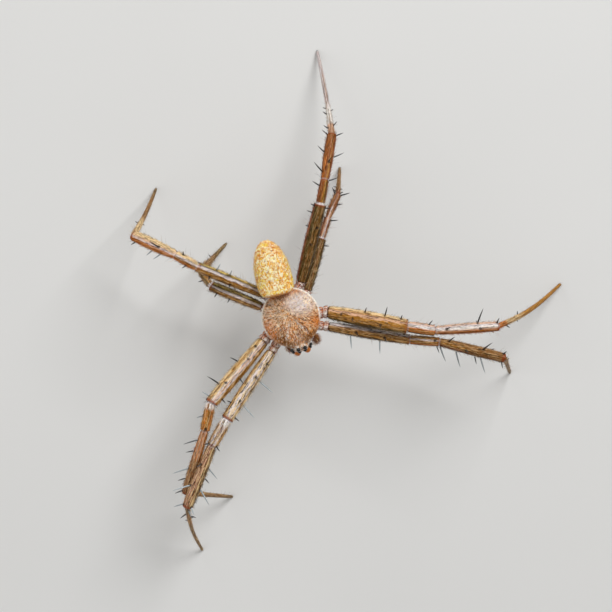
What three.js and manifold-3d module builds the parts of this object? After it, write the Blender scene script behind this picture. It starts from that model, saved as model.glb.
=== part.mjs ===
// An immature garden orb weaver, a St Andrew's cross spider, standing still on eight feet at life size.
// Millimetres and degrees. +Z is up, the head points along -Y and the spider's left side is +X.
// The trunk is described in its own frame: its origin is the middle of the plane through the hips.
import * as THREE from 'three';
import { mergeVertices } from 'three/addons/utils/BufferGeometryUtils.js';
import Module from 'manifold-3d';

const wasm = await Module();
wasm.setup();

// Stance of the trunk
const TRUNK_HEIGHT = 5.7;
const TRUNK_PITCH = 8; // head up
const HIP_PLANE = -0.32; // height of the leg axes in the trunk's frame
const JOINT_GAP = 0.05; // clearance between neighbours

// Carapace: a round thorax with a narrower, blunt head in front
const THORAX_RADIUS = 2.0;
const THORAX_SHIFT = -0.08;
const HEAD_HALF_WIDTH = 0.74;
const HEAD_FRONT = -2.5;
const CARAPACE_REAR = 1.92;
const CARAPACE_RISE = 0.98;
const CARAPACE_RIM = 0.22;
const CARAPACE_LIP = 0.1;

// Underside of the front body
const STERNUM = { halfWidth: 0.76, halfLength: 1.4, top: 0.07, bottom: -0.72, centreY: -0.05 };
const MOUTH = { halfWidth: 0.52, halfLength: 0.23, halfHeight: 0.24, y: -1.74, z: -0.5 };
const CHELICERA = { length: 1.0, radius: 0.31, offset: 0.34, y: -2.32, top: 0.06, lean: 6 };
const PALP_RADIUS = 0.25;

// Abdomen: an egg with a blunt front end that is raised over the carapace
const ABDOMEN = { length: 3.86, halfWidth: 1.27, halfHeight: 1.02, x: -0.16, y: 3.42, z: 0.97 };
const ABDOMEN_YAW = -5;
const ABDOMEN_WIDEST = -0.3; // place of the widest section, from -1 in front to 1 behind
const ABDOMEN_FRONT_LIFT = 0.5;
const PEDICEL_RADIUS = 0.2;
const SPINNERETS = { radius: 0.26, length: 0.4, fromCentre: 1.2 };

// Eyes: distance from the midline, distance forward, height and radius
const EYES = [
  { name: 'anterior_median', x: 0.19, y: -2.42, z: 0.66, radius: 0.14 },
  { name: 'posterior_median', x: 0.23, y: -2.3, z: 0.96, radius: 0.14 },
  { name: 'anterior_lateral', x: 0.6, y: -2.36, z: 0.52, radius: 0.1 },
  { name: 'posterior_lateral', x: 0.68, y: -2.2, z: 0.68, radius: 0.11 },
];
const EYE_SOCKET_GAP = 0.02;

// Legs, pair by pair. A hip socket is where the coxa leaves the trunk. Radii are at start, middle and end.
const PAIRS = [
  {
    socket: [0.8, -0.85],
    coxa: { length: 1.5, radii: [0.28, 0.35, 0.35] },
    femur: { length: 5.5, radii: [0.33, 0.42, 0.38] },
    patella: { length: 2.0, radii: [0.33, 0.36, 0.33] },
    tibia: { length: 4.55, radii: [0.29, 0.39, 0.35] },
    foot: { length: 7.9, radii: [0.26, 0.25, 0.25] },
  },
  {
    socket: [0.95, -0.2],
    coxa: { length: 1.5, radii: [0.3, 0.41, 0.45] },
    femur: { length: 5.47, radii: [0.4, 0.53, 0.48] },
    patella: { length: 1.9, radii: [0.36, 0.39, 0.35] },
    tibia: { length: 4.7, radii: [0.31, 0.36, 0.36] },
    foot: { length: 7.05, radii: [0.28, 0.25, 0.25] },
  },
  {
    socket: [0.85, 0.45],
    coxa: { length: 1.07, radii: [0.26, 0.33, 0.33] },
    femur: { length: 3.7, radii: [0.32, 0.38, 0.36] },
    patella: { length: 1.45, radii: [0.26, 0.28, 0.26] },
    tibia: { length: 1.8, radii: [0.25, 0.28, 0.25] },
    foot: { length: 3.4, radii: [0.25, 0.25, 0.25] },
  },
  {
    socket: [0.55, 1.1],
    coxa: { length: 1.15, radii: [0.28, 0.34, 0.36] },
    femur: { length: 5.5, radii: [0.34, 0.43, 0.4] },
    patella: { length: 1.65, radii: [0.3, 0.34, 0.31] },
    tibia: { length: 3.3, radii: [0.28, 0.37, 0.38] },
    foot: { length: 6.7, radii: [0.29, 0.25, 0.25] },
  },
];

// Pose of each leg. Yaw is forward from straight sideways and pitch is up from level.
// Girth is each hinged part's thickness against the pair's own: a leg is deeper than it is broad, so it looks thicker
// or thinner with the way it is rolled.
// The last length, metatarsus and tarsus, slopes down just enough to reach the ground; bow is its sideways sag.
const POSE = [
  { side: 'left', pair: 1, coxa: 25, yaw: [28, 22, 31, 83], pitch: [3, 12, 16], girth: [1, 1, 1], bow: 0 },
  { side: 'left', pair: 2, coxa: 13, yaw: [28, 29, 19, -7], pitch: [14, -10, -22], girth: [1.09, 1.08, 1.05], bow: -0.3 },
  { side: 'left', pair: 3, coxa: -45, yaw: [-55, -53, -45, -61], pitch: [-18, -12, -24], girth: [1, 1, 1], bow: 0 },
  { side: 'left', pair: 4, coxa: -43, yaw: [-58, -60, -60, -80], pitch: [7, -10, -28], girth: [1.12, 1, 1], bow: -0.07 },
  { side: 'right', pair: 1, coxa: 41, yaw: [36, 41, 49.5, 86.5], pitch: [15, 4, -8], girth: [1.14, 1.16, 1.1], bow: 0.2 },
  { side: 'right', pair: 2, coxa: 31, yaw: [29, 59, 54, 139.5], pitch: [14, 6, -12], girth: [0.97, 0.98, 1], bow: 0 },
  { side: 'right', pair: 3, coxa: -44, yaw: [-42, -70, -165, -162], pitch: [6, -40, -68], girth: [1.06, 1, 1], bow: 0 },
  { side: 'right', pair: 4, coxa: -52, yaw: [-44.5, -47, -39.5, -141.5], pitch: [27, -14, -22], girth: [0.92, 1.06, 1.1], bow: 0.1 },
];

const LEG_SIDES = 10;
const END_FULLNESS = 0.72; // radius at a spindle's very end, as a share of the radius just inside it
const FOOT_OVERSHOOT = 2; // foot radii that the rod runs past the ground before it is cut flat
const HINGED_PARTS = ['femur', 'patella', 'tibia'];
const COLOURS = {
  carapace: 0xb07a4a,
  underside: 0x6b4a2c,
  jaw: 0xb5652a,
  eye: 0x0a0908,
  abdomen: 0xe3b24c,
  femur: 0x8a6a3e,
  patella: 0xc08a58,
  tibia: 0x9c6234,
  foot: 0xa8733f,
};

const spider = new THREE.Group();
const trunk = new THREE.Group();
trunk.position.z = TRUNK_HEIGHT;
trunk.rotation.x = -THREE.MathUtils.degToRad(TRUNK_PITCH);
spider.add(trunk);
trunk.updateMatrixWorld(true);

function material(colour, roughness = 0.6) {
  return new THREE.MeshStandardMaterial({ color: colour, roughness, metalness: 0 });
}

function addMesh(parent, name, geometry, colour, roughness) {
  const mesh = new THREE.Mesh(geometry, material(colour, roughness));
  mesh.name = name;
  parent.add(mesh);
  return mesh;
}

// Moves every vertex of a geometry through a function.
function remap(geometry, move) {
  const position = geometry.attributes.position;
  const point = new THREE.Vector3();
  for (let i = 0; i < position.count; i += 1) {
    point.fromBufferAttribute(position, i);
    move(point);
    position.setXYZ(i, point.x, point.y, point.z);
  }
  geometry.computeVertexNormals();
  return geometry;
}

function bareGeometry(geometry) {
  const bare = geometry.clone();
  bare.deleteAttribute('normal');
  bare.deleteAttribute('uv');
  return mergeVertices(bare, 1e-5);
}

function toManifold(geometry) {
  const merged = bareGeometry(geometry);
  return new wasm.Manifold(new wasm.Mesh({
    numProp: 3,
    vertProperties: new Float32Array(merged.attributes.position.array),
    triVerts: new Uint32Array(merged.index.array),
  }));
}

function fromManifold(solid) {
  const mesh = solid.getMesh();
  const geometry = new THREE.BufferGeometry();
  geometry.setAttribute('position', new THREE.BufferAttribute(mesh.vertProperties, 3));
  geometry.setIndex(new THREE.BufferAttribute(mesh.triVerts, 1));
  geometry.computeVertexNormals();
  return geometry;
}

// A body lofted along Y on a sphere's grid. The section function gives, for a place y along the body,
// its half width, its height above and depth below a middle line, and that line's own x and z.
function loftedBody(front, rear, columns, rows, section) {
  const sphere = new THREE.SphereGeometry(1, columns, rows);
  return remap(sphere, (point) => {
    const away = Math.hypot(point.x, point.z);
    const across = away > 1e-6 ? point.x / away : 0;
    const upward = away > 1e-6 ? point.z / away : 0;
    const y = (front + rear) / 2 + (point.y * (rear - front)) / 2;
    const { halfWidth, above, below, x, z } = section(y);
    point.set(x + halfWidth * across, y, z + (upward > 0 ? above : below) * upward);
  });
}

function roundEnd(distance, reach, power) {
  return Math.max(0, 1 - Math.abs(distance / reach) ** power) ** (1 / power);
}

function carapaceSection(y) {
  const thorax = THORAX_RADIUS * roundEnd(y - THORAX_SHIFT, THORAX_RADIUS, 2);
  const head = y < -1 ? HEAD_HALF_WIDTH * roundEnd(y + 1, HEAD_FRONT + 1, 4) : HEAD_HALF_WIDTH;
  const closing = roundEnd(Math.max(y, 0), CARAPACE_REAR, 2);
  const halfWidth = Math.min((thorax ** 4 + head ** 4) ** 0.25, THORAX_RADIUS * closing);
  const rearFall = Math.max(0, 1 - (Math.max(y, 0) / CARAPACE_REAR) ** 2.5) ** 0.6;
  const frontFall = Math.max(0, 1 - (Math.min(y, 0) / HEAD_FRONT) ** 8) ** 0.34;
  const above = CARAPACE_RISE * rearFall * frontFall;
  const below = CARAPACE_LIP * (halfWidth / THORAX_RADIUS);
  return { halfWidth, above, below, x: 0, z: CARAPACE_RIM };
}

function addCarapace() {
  const shell = loftedBody(HEAD_FRONT, CARAPACE_REAR, 24, 20, carapaceSection);
  let solid = toManifold(shell);
  for (const eye of EYES) {
    for (const side of [1, -1]) {
      const socket = new THREE.IcosahedronGeometry(eye.radius + EYE_SOCKET_GAP, 1);
      socket.translate(side * eye.x, eye.y, eye.z);
      solid = solid.subtract(toManifold(socket));
    }
  }
  addMesh(trunk, 'carapace', fromManifold(solid), COLOURS.carapace);
}

function addEyes() {
  for (const eye of EYES) {
    for (const [side, sign] of [['left', 1], ['right', -1]]) {
      const ball = new THREE.IcosahedronGeometry(eye.radius, 1);
      const mesh = addMesh(trunk, `eye_${eye.name}_${side}`, ball, COLOURS.eye, 0.1);
      mesh.position.set(sign * eye.x, eye.y, eye.z);
    }
  }
}

// A closed solid of revolution along +Z from start to end, its radius a smooth curve through three values.
function spindle(start, end, radii, sides, rounding = 0.16) {
  const [first, middle, last] = radii;
  const profile = [new THREE.Vector2(0, start)];
  const stops = [0, 0.05, 0.2, 0.5, 0.8, 0.95, 1];
  for (const t of stops) {
    const plain = first * (1 - t) * (1 - 2 * t) + 4 * middle * t * (1 - t) + last * t * (2 * t - 1);
    const nearEnd = Math.min(t, 1 - t) / rounding;
    const swell = Math.sqrt(1 - (1 - Math.min(nearEnd, 1)) ** 2);
    const cap = END_FULLNESS + (1 - END_FULLNESS) * swell;
    profile.push(new THREE.Vector2(plain * cap, start + (end - start) * t));
  }
  profile.push(new THREE.Vector2(0, end));
  return new THREE.LatheGeometry(profile, sides).rotateX(Math.PI / 2);
}

// Bends a solid that runs along +Z onto a curve.
function bendAlong(geometry, curve, length) {
  const steps = 60;
  const frames = curve.computeFrenetFrames(steps, false);
  return remap(geometry, (point) => {
    const along = THREE.MathUtils.clamp(point.z / length, 0, 1);
    const frame = Math.round(along * steps);
    const { x, y } = point;
    point.copy(curve.getPointAt(along));
    point.addScaledVector(frames.normals[frame], x).addScaledVector(frames.binormals[frame], y);
  });
}

function addUnderside() {
  const { halfWidth, halfLength, top, bottom, centreY } = STERNUM;
  const shield = spindle(bottom, top, [0.8, 1, 0.95], 20, 0.35).scale(halfWidth, halfLength, 1);
  addMesh(trunk, 'sternum', shield, COLOURS.underside).position.y = centreY;

  const mouth = new THREE.SphereGeometry(1, 14, 8);
  mouth.scale(MOUTH.halfWidth, MOUTH.halfLength, MOUTH.halfHeight);
  addMesh(trunk, 'mouthparts', mouth, COLOURS.underside).position.set(0, MOUTH.y, MOUTH.z);
}

function addJaws() {
  for (const [side, sign] of [['left', 1], ['right', -1]]) {
    const { length, radius, offset, y, top, lean } = CHELICERA;
    const jaw = spindle(0, length, [radius * 0.9, radius * 1.05, radius * 0.6], 12, 0.3);
    const mesh = addMesh(trunk, `chelicera_${side}`, jaw, COLOURS.jaw, 0.35);
    mesh.position.set(sign * offset, y, top);
    mesh.rotation.set(Math.PI - THREE.MathUtils.degToRad(lean), 0, 0);
  }
}

// The palps come out beside the head and hang down past the jaws; the right one is tucked closer in.
function addPalps() {
  for (const [side, sign, spread] of [['left', 1, 1], ['right', -1, 0.6]]) {
    const route = [
      [0.78, -1.38, -0.42],
      [1.05, -1.64, -0.3],
      [1.2, -1.9, -0.42],
      [1.12, -2.1, -0.82],
      [0.92, -2.14, -1.26],
    ];
    const points = route.map(([x, y, z]) => new THREE.Vector3(sign * spread * x, y, z));
    const curve = new THREE.CatmullRomCurve3(points);
    const length = curve.getLength();
    const feeler = spindle(0, length, [PALP_RADIUS, PALP_RADIUS, PALP_RADIUS], 10, 0.12);
    addMesh(trunk, `palp_${side}`, bendAlong(feeler, curve, length), COLOURS.patella);
  }
}

function addAbdomen() {
  const half = ABDOMEN.length / 2;
  const egg = loftedBody(-half, half, 24, 16, (y) => {
    const t = y / half;
    const behindWidest = roundEnd(t - ABDOMEN_WIDEST, 1 - ABDOMEN_WIDEST, 2);
    const beforeWidest = roundEnd(t - ABDOMEN_WIDEST, -1 - ABDOMEN_WIDEST, 4);
    const girth = t > ABDOMEN_WIDEST ? behindWidest : beforeWidest;
    const round = roundEnd(t, 1, 2);
    return {
      halfWidth: ABDOMEN.halfWidth * girth,
      above: ABDOMEN.halfHeight * (0.5 * girth + 0.5 * round),
      below: ABDOMEN.halfHeight * round,
      x: 0,
      z: ABDOMEN_FRONT_LIFT * Math.max(0, -t) ** 3,
    };
  });
  const group = new THREE.Group();
  group.position.set(ABDOMEN.x, ABDOMEN.y, ABDOMEN.z);
  group.rotation.z = THREE.MathUtils.degToRad(ABDOMEN_YAW);
  trunk.add(group);
  addMesh(group, 'abdomen', egg, COLOURS.abdomen, 0.55);

  const cone = spindle(0, SPINNERETS.length, [SPINNERETS.radius, SPINNERETS.radius, 0.14], 10, 0.2);
  const mesh = addMesh(group, 'spinnerets', cone, COLOURS.patella);
  const depth = ABDOMEN.halfHeight * roundEnd(SPINNERETS.fromCentre / half, 1, 2);
  mesh.position.set(0, SPINNERETS.fromCentre, -depth - 0.12);
  mesh.rotation.x = Math.PI - 0.5;

  const route = [[0, 1.42, -0.22], [0, 1.9, -0.14], [-0.03, 2.34, -0.1]];
  const curve = new THREE.CatmullRomCurve3(route.map((p) => new THREE.Vector3(...p)));
  const length = curve.getLength();
  const waist = spindle(0, length, [PEDICEL_RADIUS, PEDICEL_RADIUS * 0.85, PEDICEL_RADIUS], 10);
  addMesh(trunk, 'pedicel', bendAlong(waist, curve, length), COLOURS.patella);
}

function direction(sign, yaw, pitch) {
  const turn = THREE.MathUtils.degToRad(yaw);
  const rise = THREE.MathUtils.degToRad(pitch);
  const flat = Math.cos(rise);
  return new THREE.Vector3(sign * flat * Math.cos(turn), -flat * Math.sin(turn), Math.sin(rise));
}

function addSegment(name, start, way, size, gaps, colour) {
  const geometry = spindle(gaps[0], size.length - gaps[1], size.radii, LEG_SIDES);
  const mesh = addMesh(spider, name, geometry, colour, 0.45);
  mesh.position.copy(start);
  mesh.quaternion.setFromUnitVectors(new THREE.Vector3(0, 0, 1), way);
  return start.clone().addScaledVector(way, size.length);
}

// Room a segment needs at its start, so that its rounded end clears the one before at a sharp bend.
function bendGap(before, after, radius) {
  const bend = before.angleTo(after);
  return JOINT_GAP + radius * Math.sin(Math.min(bend, Math.PI / 2));
}

// Pitch, in degrees, at which a rod of a given length just reaches the ground from a given height.
function fallToGround(height, length) {
  return -THREE.MathUtils.radToDeg(Math.asin(height / length));
}

// Metatarsus and tarsus: a slim rod from the tibia to the ground, its end cut flat at ground level.
function addFoot(name, start, way, sign, size, gap, bow) {
  const beside = new THREE.Vector3(0, 0, 1).cross(way).normalize().multiplyScalar(sign * bow);
  const pastGround = size.radii[2] * FOOT_OVERSHOOT;
  const rod = spindle(gap, size.length + pastGround, size.radii, LEG_SIDES, 0.02);
  rod.applyQuaternion(new THREE.Quaternion().setFromUnitVectors(new THREE.Vector3(0, 0, 1), way));
  remap(rod, (point) => {
    if (point.z < -start.z) {
      point.addScaledVector(way, (-start.z - point.z) / way.z);
    }
    const along = THREE.MathUtils.clamp(point.dot(way) / size.length, 0, 1);
    point.addScaledVector(beside, Math.sin(Math.PI * along));
  });
  addMesh(spider, name, rod, COLOURS.foot, 0.45).position.copy(start);
}

function addLeg({ side, pair, coxa, yaw, pitch, girth, bow }) {
  const sizes = PAIRS[pair - 1];
  const sign = side === 'left' ? 1 : -1;
  const name = (part) => `leg${pair}_${side}_${part}`;
  const socket = new THREE.Vector3(sign * sizes.socket[0], sizes.socket[1], HIP_PLANE);
  const hipWay = direction(sign, coxa, 0).transformDirection(trunk.matrixWorld);
  let joint = socket.applyMatrix4(trunk.matrixWorld);
  joint = addSegment(name('coxa'), joint, hipWay, sizes.coxa, [JOINT_GAP, JOINT_GAP], COLOURS.underside);

  let before = hipWay;
  HINGED_PARTS.forEach((part, i) => {
    const way = direction(sign, yaw[i], pitch[i]);
    const size = { length: sizes[part].length, radii: sizes[part].radii.map((radius) => radius * girth[i]) };
    const gap = bendGap(before, way, size.radii[0] * 0.6);
    joint = addSegment(name(part), joint, way, size, [gap, JOINT_GAP], COLOURS[part]);
    before = way;
  });
  const footWay = direction(sign, yaw[3], fallToGround(joint.z, sizes.foot.length));
  const gap = bendGap(before, footWay, sizes.tibia.radii[2]);
  addFoot(name('metatarsus_tarsus'), joint, footWay, sign, sizes.foot, gap, bow);
}

addCarapace();
addEyes();
addUnderside();
addJaws();
addPalps();
addAbdomen();
POSE.forEach(addLeg);

// The whole stands over the middle of its own outline.
const box = new THREE.Box3().setFromObject(spider, true);
const centre = box.getCenter(new THREE.Vector3());
spider.position.set(-centre.x, -centre.y, 0);

const part = new THREE.Group();
part.add(spider);

export default part;
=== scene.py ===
import math
import random

import bmesh
import bpy
import numpy as np
from bpy.props import FloatProperty, FloatVectorProperty, IntProperty, PointerProperty
from mathutils import Matrix, Vector


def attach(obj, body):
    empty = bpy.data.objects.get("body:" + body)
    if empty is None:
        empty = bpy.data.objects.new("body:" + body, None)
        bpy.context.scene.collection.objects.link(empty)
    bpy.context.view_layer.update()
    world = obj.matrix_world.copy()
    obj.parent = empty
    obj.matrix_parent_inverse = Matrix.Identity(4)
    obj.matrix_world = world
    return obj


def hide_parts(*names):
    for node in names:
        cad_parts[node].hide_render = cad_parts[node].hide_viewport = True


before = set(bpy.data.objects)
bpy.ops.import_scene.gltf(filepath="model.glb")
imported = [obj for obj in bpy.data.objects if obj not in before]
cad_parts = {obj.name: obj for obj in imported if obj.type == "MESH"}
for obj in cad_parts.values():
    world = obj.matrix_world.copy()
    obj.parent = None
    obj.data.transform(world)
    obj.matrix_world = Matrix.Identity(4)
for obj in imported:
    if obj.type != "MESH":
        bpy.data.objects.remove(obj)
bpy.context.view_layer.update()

bl_info = {
    "name": "Orb weaver spider",
    "version": (1, 0, 0),
    "blender": (4, 5, 0),
    "location": "View3D > Sidebar > Spider",
    "description": "Skins, bristles and hairs of an immature garden orb weaver on its solid frame",
    "category": "Add Mesh",
}

# Shapes are worked out in millimetres, and each finished mesh is brought to metres.
MM = 0.001
SEED = 17
SIDES = {"left": 1, "right": -1}

# The trunk is pitched head up, and the abdomen is swung a little to one side of it.
TRUNK = Matrix.Rotation(math.radians(-8), 4, "X")
REAR = TRUNK @ Matrix.Rotation(math.radians(-5), 4, "Z")
LEVEL = Matrix.Identity(4)
FLOOR_GAP = 0.002  # points lower than this lie on the floor
RING_GAP = 0.03  # least distance between two rings of a rod


def corners(node, turn):
    """Lowest and highest corner of a frame node, in millimetres, along the axes of a turned frame."""
    back = turn.inverted()
    points = [back @ vertex.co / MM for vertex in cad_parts[node].data.vertices]
    low, high = (Vector([end(point[axis] for point in points) for axis in range(3)]) for end in (min, max))
    return low, high


def box(node, turn):
    """Middle and half size of a frame node, in millimetres, along the axes of a turned frame."""
    low, high = corners(node, turn)
    return (low + high) / 2, (high - low) / 2


def rod_rings(node, near):
    """Centres and radii in millimetres of a rod's rings, from the end nearest to a point.

    A foot's last ring lies on the floor."""
    points = [vertex.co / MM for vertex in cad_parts[node].data.vertices]
    points = np.unique(np.round(points, 3), axis=0)
    above = points[points[:, 2] > FLOOR_GAP]
    grounded = points[points[:, 2] <= FLOOR_GAP]
    axis = np.linalg.svd(above - above.mean(0), full_matrices=False)[2][0]
    reach = above @ axis
    order = np.argsort(reach)
    breaks = np.where(np.diff(reach[order]) > RING_GAP)[0] + 1
    rings = []
    for group in np.split(order, breaks):
        middle = above[group].mean(0)
        rings.append((Vector(middle), float(np.linalg.norm(above[group] - middle, axis=1).max())))
    if (rings[0][0] - near).length > (rings[-1][0] - near).length:
        rings.reverse()
    if len(grounded):
        rings.append((Vector((grounded.min(0) + grounded.max(0)) / 2), rings[-1][1]))
    return rings


def smooth(share):
    share = min(max(share, 0.0), 1.0)
    return share * share * (3 - 2 * share)


def bump(distance, width):
    return math.exp(-((distance / width) ** 2))


def round_end(distance, reach, power):
    return max(0.0, 1 - abs(distance / reach) ** power) ** (1 / power)


def segment_distance(point, start, end):
    """Distance from a point to a straight stroke, and the share along the stroke of the nearest place."""
    stroke = end - start
    share = min(max((point - start).dot(stroke) / stroke.length_squared, 0.0), 1.0)
    return (point - start - stroke * share).length, share


def ray(turn, radius=1, height=0):
    """A point at a turn in radians round the Z axis."""
    return Vector((radius * math.cos(turn), radius * math.sin(turn), height))


def spoke(turn, first, second):
    """The way at a turn in radians from one way towards another."""
    return first * math.cos(turn) + second * math.sin(turn)


# -------- making meshes


def wrapped(sides, rings, place, marks=None):
    """A closed skin: a globe whose points are moved by place(share from pole to pole, turn in radians).

    marks maps an attribute's name to a function of the same two arguments that gives a vector."""
    body = bmesh.new()
    bmesh.ops.create_uvsphere(body, u_segments=sides, v_segments=rings, radius=1)
    layers = {name: body.verts.layers.float_vector.new(name) for name in (marks or {})}
    for vertex in body.verts:
        share = round(math.acos(min(max(vertex.co.z, -1), 1)) / math.pi * rings) / rings
        turn = math.atan2(vertex.co.y, vertex.co.x)
        vertex.co = place(share, turn)
        for name, layer in layers.items():
            vertex[layer] = marks[name](share, turn)
    bmesh.ops.recalc_face_normals(body, faces=body.faces)
    return body


def joined(bodies):
    """One bmesh that holds all of the bodies."""
    whole = bmesh.new()
    for body in bodies:
        spare = bpy.data.meshes.new("spare")
        body.to_mesh(spare)
        body.free()
        whole.from_mesh(spare)
        bpy.data.meshes.remove(spare)
    return whole


def settle(mesh, name, material, nodes=()):
    """Makes a smooth piece of a mesh, hangs it on the root body, and hides the frame nodes it stands in for.
    """
    for polygon in mesh.polygons:
        polygon.use_smooth = True
    mesh.materials.append(material)
    piece = bpy.data.objects.new(name, mesh)
    bpy.context.scene.collection.objects.link(piece)
    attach(piece, "root")
    if nodes:
        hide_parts(*nodes)
    return piece


def finish_skin(body, name, material, nodes=(), turn=LEVEL, levels=0):
    """Makes a piece of a bmesh that is in millimetres in a turned frame."""
    mesh = bpy.data.meshes.new(name)
    body.transform(turn @ Matrix.Scale(MM, 4))
    body.to_mesh(mesh)
    body.free()
    piece = settle(mesh, name, material, nodes)
    if levels:
        fine = piece.modifiers.new("Fine", "SUBSURF")
        fine.levels = levels
        fine.render_levels = levels


class Strand:
    """The form that every hair or bristle of one kind is scaled from: unit length along Z, unit radius."""

    def __init__(self, sides, rings, thickness):
        body = wrapped(sides, rings, lambda share, turn: self.place(share, turn, thickness))
        self.points = np.array([vertex.co[:] for vertex in body.verts])
        self.faces = [[vertex.index for vertex in face.verts] for face in body.faces]
        body.free()

    @staticmethod
    def place(share, turn, thickness):
        radius = thickness(share) * math.sin(math.pi * share) ** 0.25 if 0 < share < 1 else 0
        return ray(turn, radius, share)


def plain_taper(share):
    return 1.08 - share


def bristle_taper(share):
    return 0.85 * (1.03 - share) ** 0.5 + 0.9 * bump(share, 0.05) + 0.2 * bump(share - 0.09, 0.03)


class Root:
    """Where a hair grows, which way and how large, with its place on the unwrap and its marks."""

    def __init__(self, place, normal, lie, length, radius, rise, curl, unwrap, marks):
        across = (lie - normal * lie.dot(normal)).normalized()
        self.place = place
        self.way = spoke(math.radians(rise), across, normal)
        self.side = (across - self.way * across.dot(self.way)).normalized()
        self.length = length
        self.radius = radius
        self.curl = curl
        self.unwrap = unwrap
        self.marks = marks


PATCH = 0.003  # width of a hair's own patch on the unwrap


def grow(name, roots, form, material, turn=LEVEL):
    """One piece of joined hairs. Each has a patch of its own in the map OFBake, at its root on the skin."""
    names = ("place", "way", "side", "length", "radius", "curl", "unwrap")
    place, way, side, length, radius, curl, unwrap = (
        np.array([getattr(root, what) for root in roots]) for what in names
    )
    across = np.cross(way, side)
    length, radius, curl = (values[:, None, None] for values in (length, radius, curl))
    x, y, z = (form.points[None, :, axis, None] for axis in range(3))
    points = place[:, None] + way[:, None] * z * length + across[:, None] * y * radius
    points = points + side[:, None] * (x * radius + curl * length * z**2)
    points = (points.reshape(-1, 3) @ np.array(turn.to_3x3()).T) * MM
    count = len(form.points)
    faces = [[corner + count * i for corner in face] for i in range(len(roots)) for face in form.faces]
    mesh = bpy.data.meshes.new(name)
    mesh.from_pydata(points.tolist(), [], faces)
    unwrap = unwrap * (1 - 4 * PATCH) + 2 * PATCH
    local = np.stack([form.points[:, 0] / 2 + 0.5, form.points[:, 2]], axis=1) * PATCH
    flat = (unwrap[:, None] + local[None]).reshape(-1, 2)
    corner_points = np.empty(len(mesh.loops), np.int32)
    mesh.loops.foreach_get("vertex_index", corner_points)
    layer = mesh.uv_layers.new(name="OFBake")
    layer.uv.foreach_set("vector", flat[corner_points].ravel().astype(np.float32))
    for mark in roots[0].marks:
        values = np.repeat(np.array([root.marks[mark] for root in roots]), count, axis=0)
        attribute = mesh.attributes.new(mark, "FLOAT_VECTOR", "POINT")
        attribute.data.foreach_set("vector", values.ravel().astype(np.float32))
    settle(mesh, name, material)


# -------- materials


def shade(colour):
    """Red, green, blue and opacity of a colour, or of the panel's colour of that name."""
    if isinstance(colour, str):
        colour = getattr(bpy.context.scene.spider_colours, colour)
    return (*colour[:3], 1)


class Signal:
    """A value in a material. Arithmetic on it adds Math nodes."""

    def __init__(self, paint, socket):
        self.paint = paint
        self.socket = socket

    def maths(self, operation, first, second):
        return self.paint.node("ShaderNodeMath", {"operation": operation}, {0: first, 1: second})

    def __add__(self, other):
        return self.maths("ADD", self, other)

    def __sub__(self, other):
        return self.maths("SUBTRACT", self, other)

    def __rsub__(self, other):
        return self.maths("SUBTRACT", other, self)

    def __mul__(self, other):
        return self.maths("MULTIPLY", self, other)

    def __pow__(self, other):
        return self.maths("POWER", self, other)

    def sine(self):
        return self.maths("SINE", self, 0)

    __radd__ = __add__
    __rmul__ = __mul__


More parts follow.
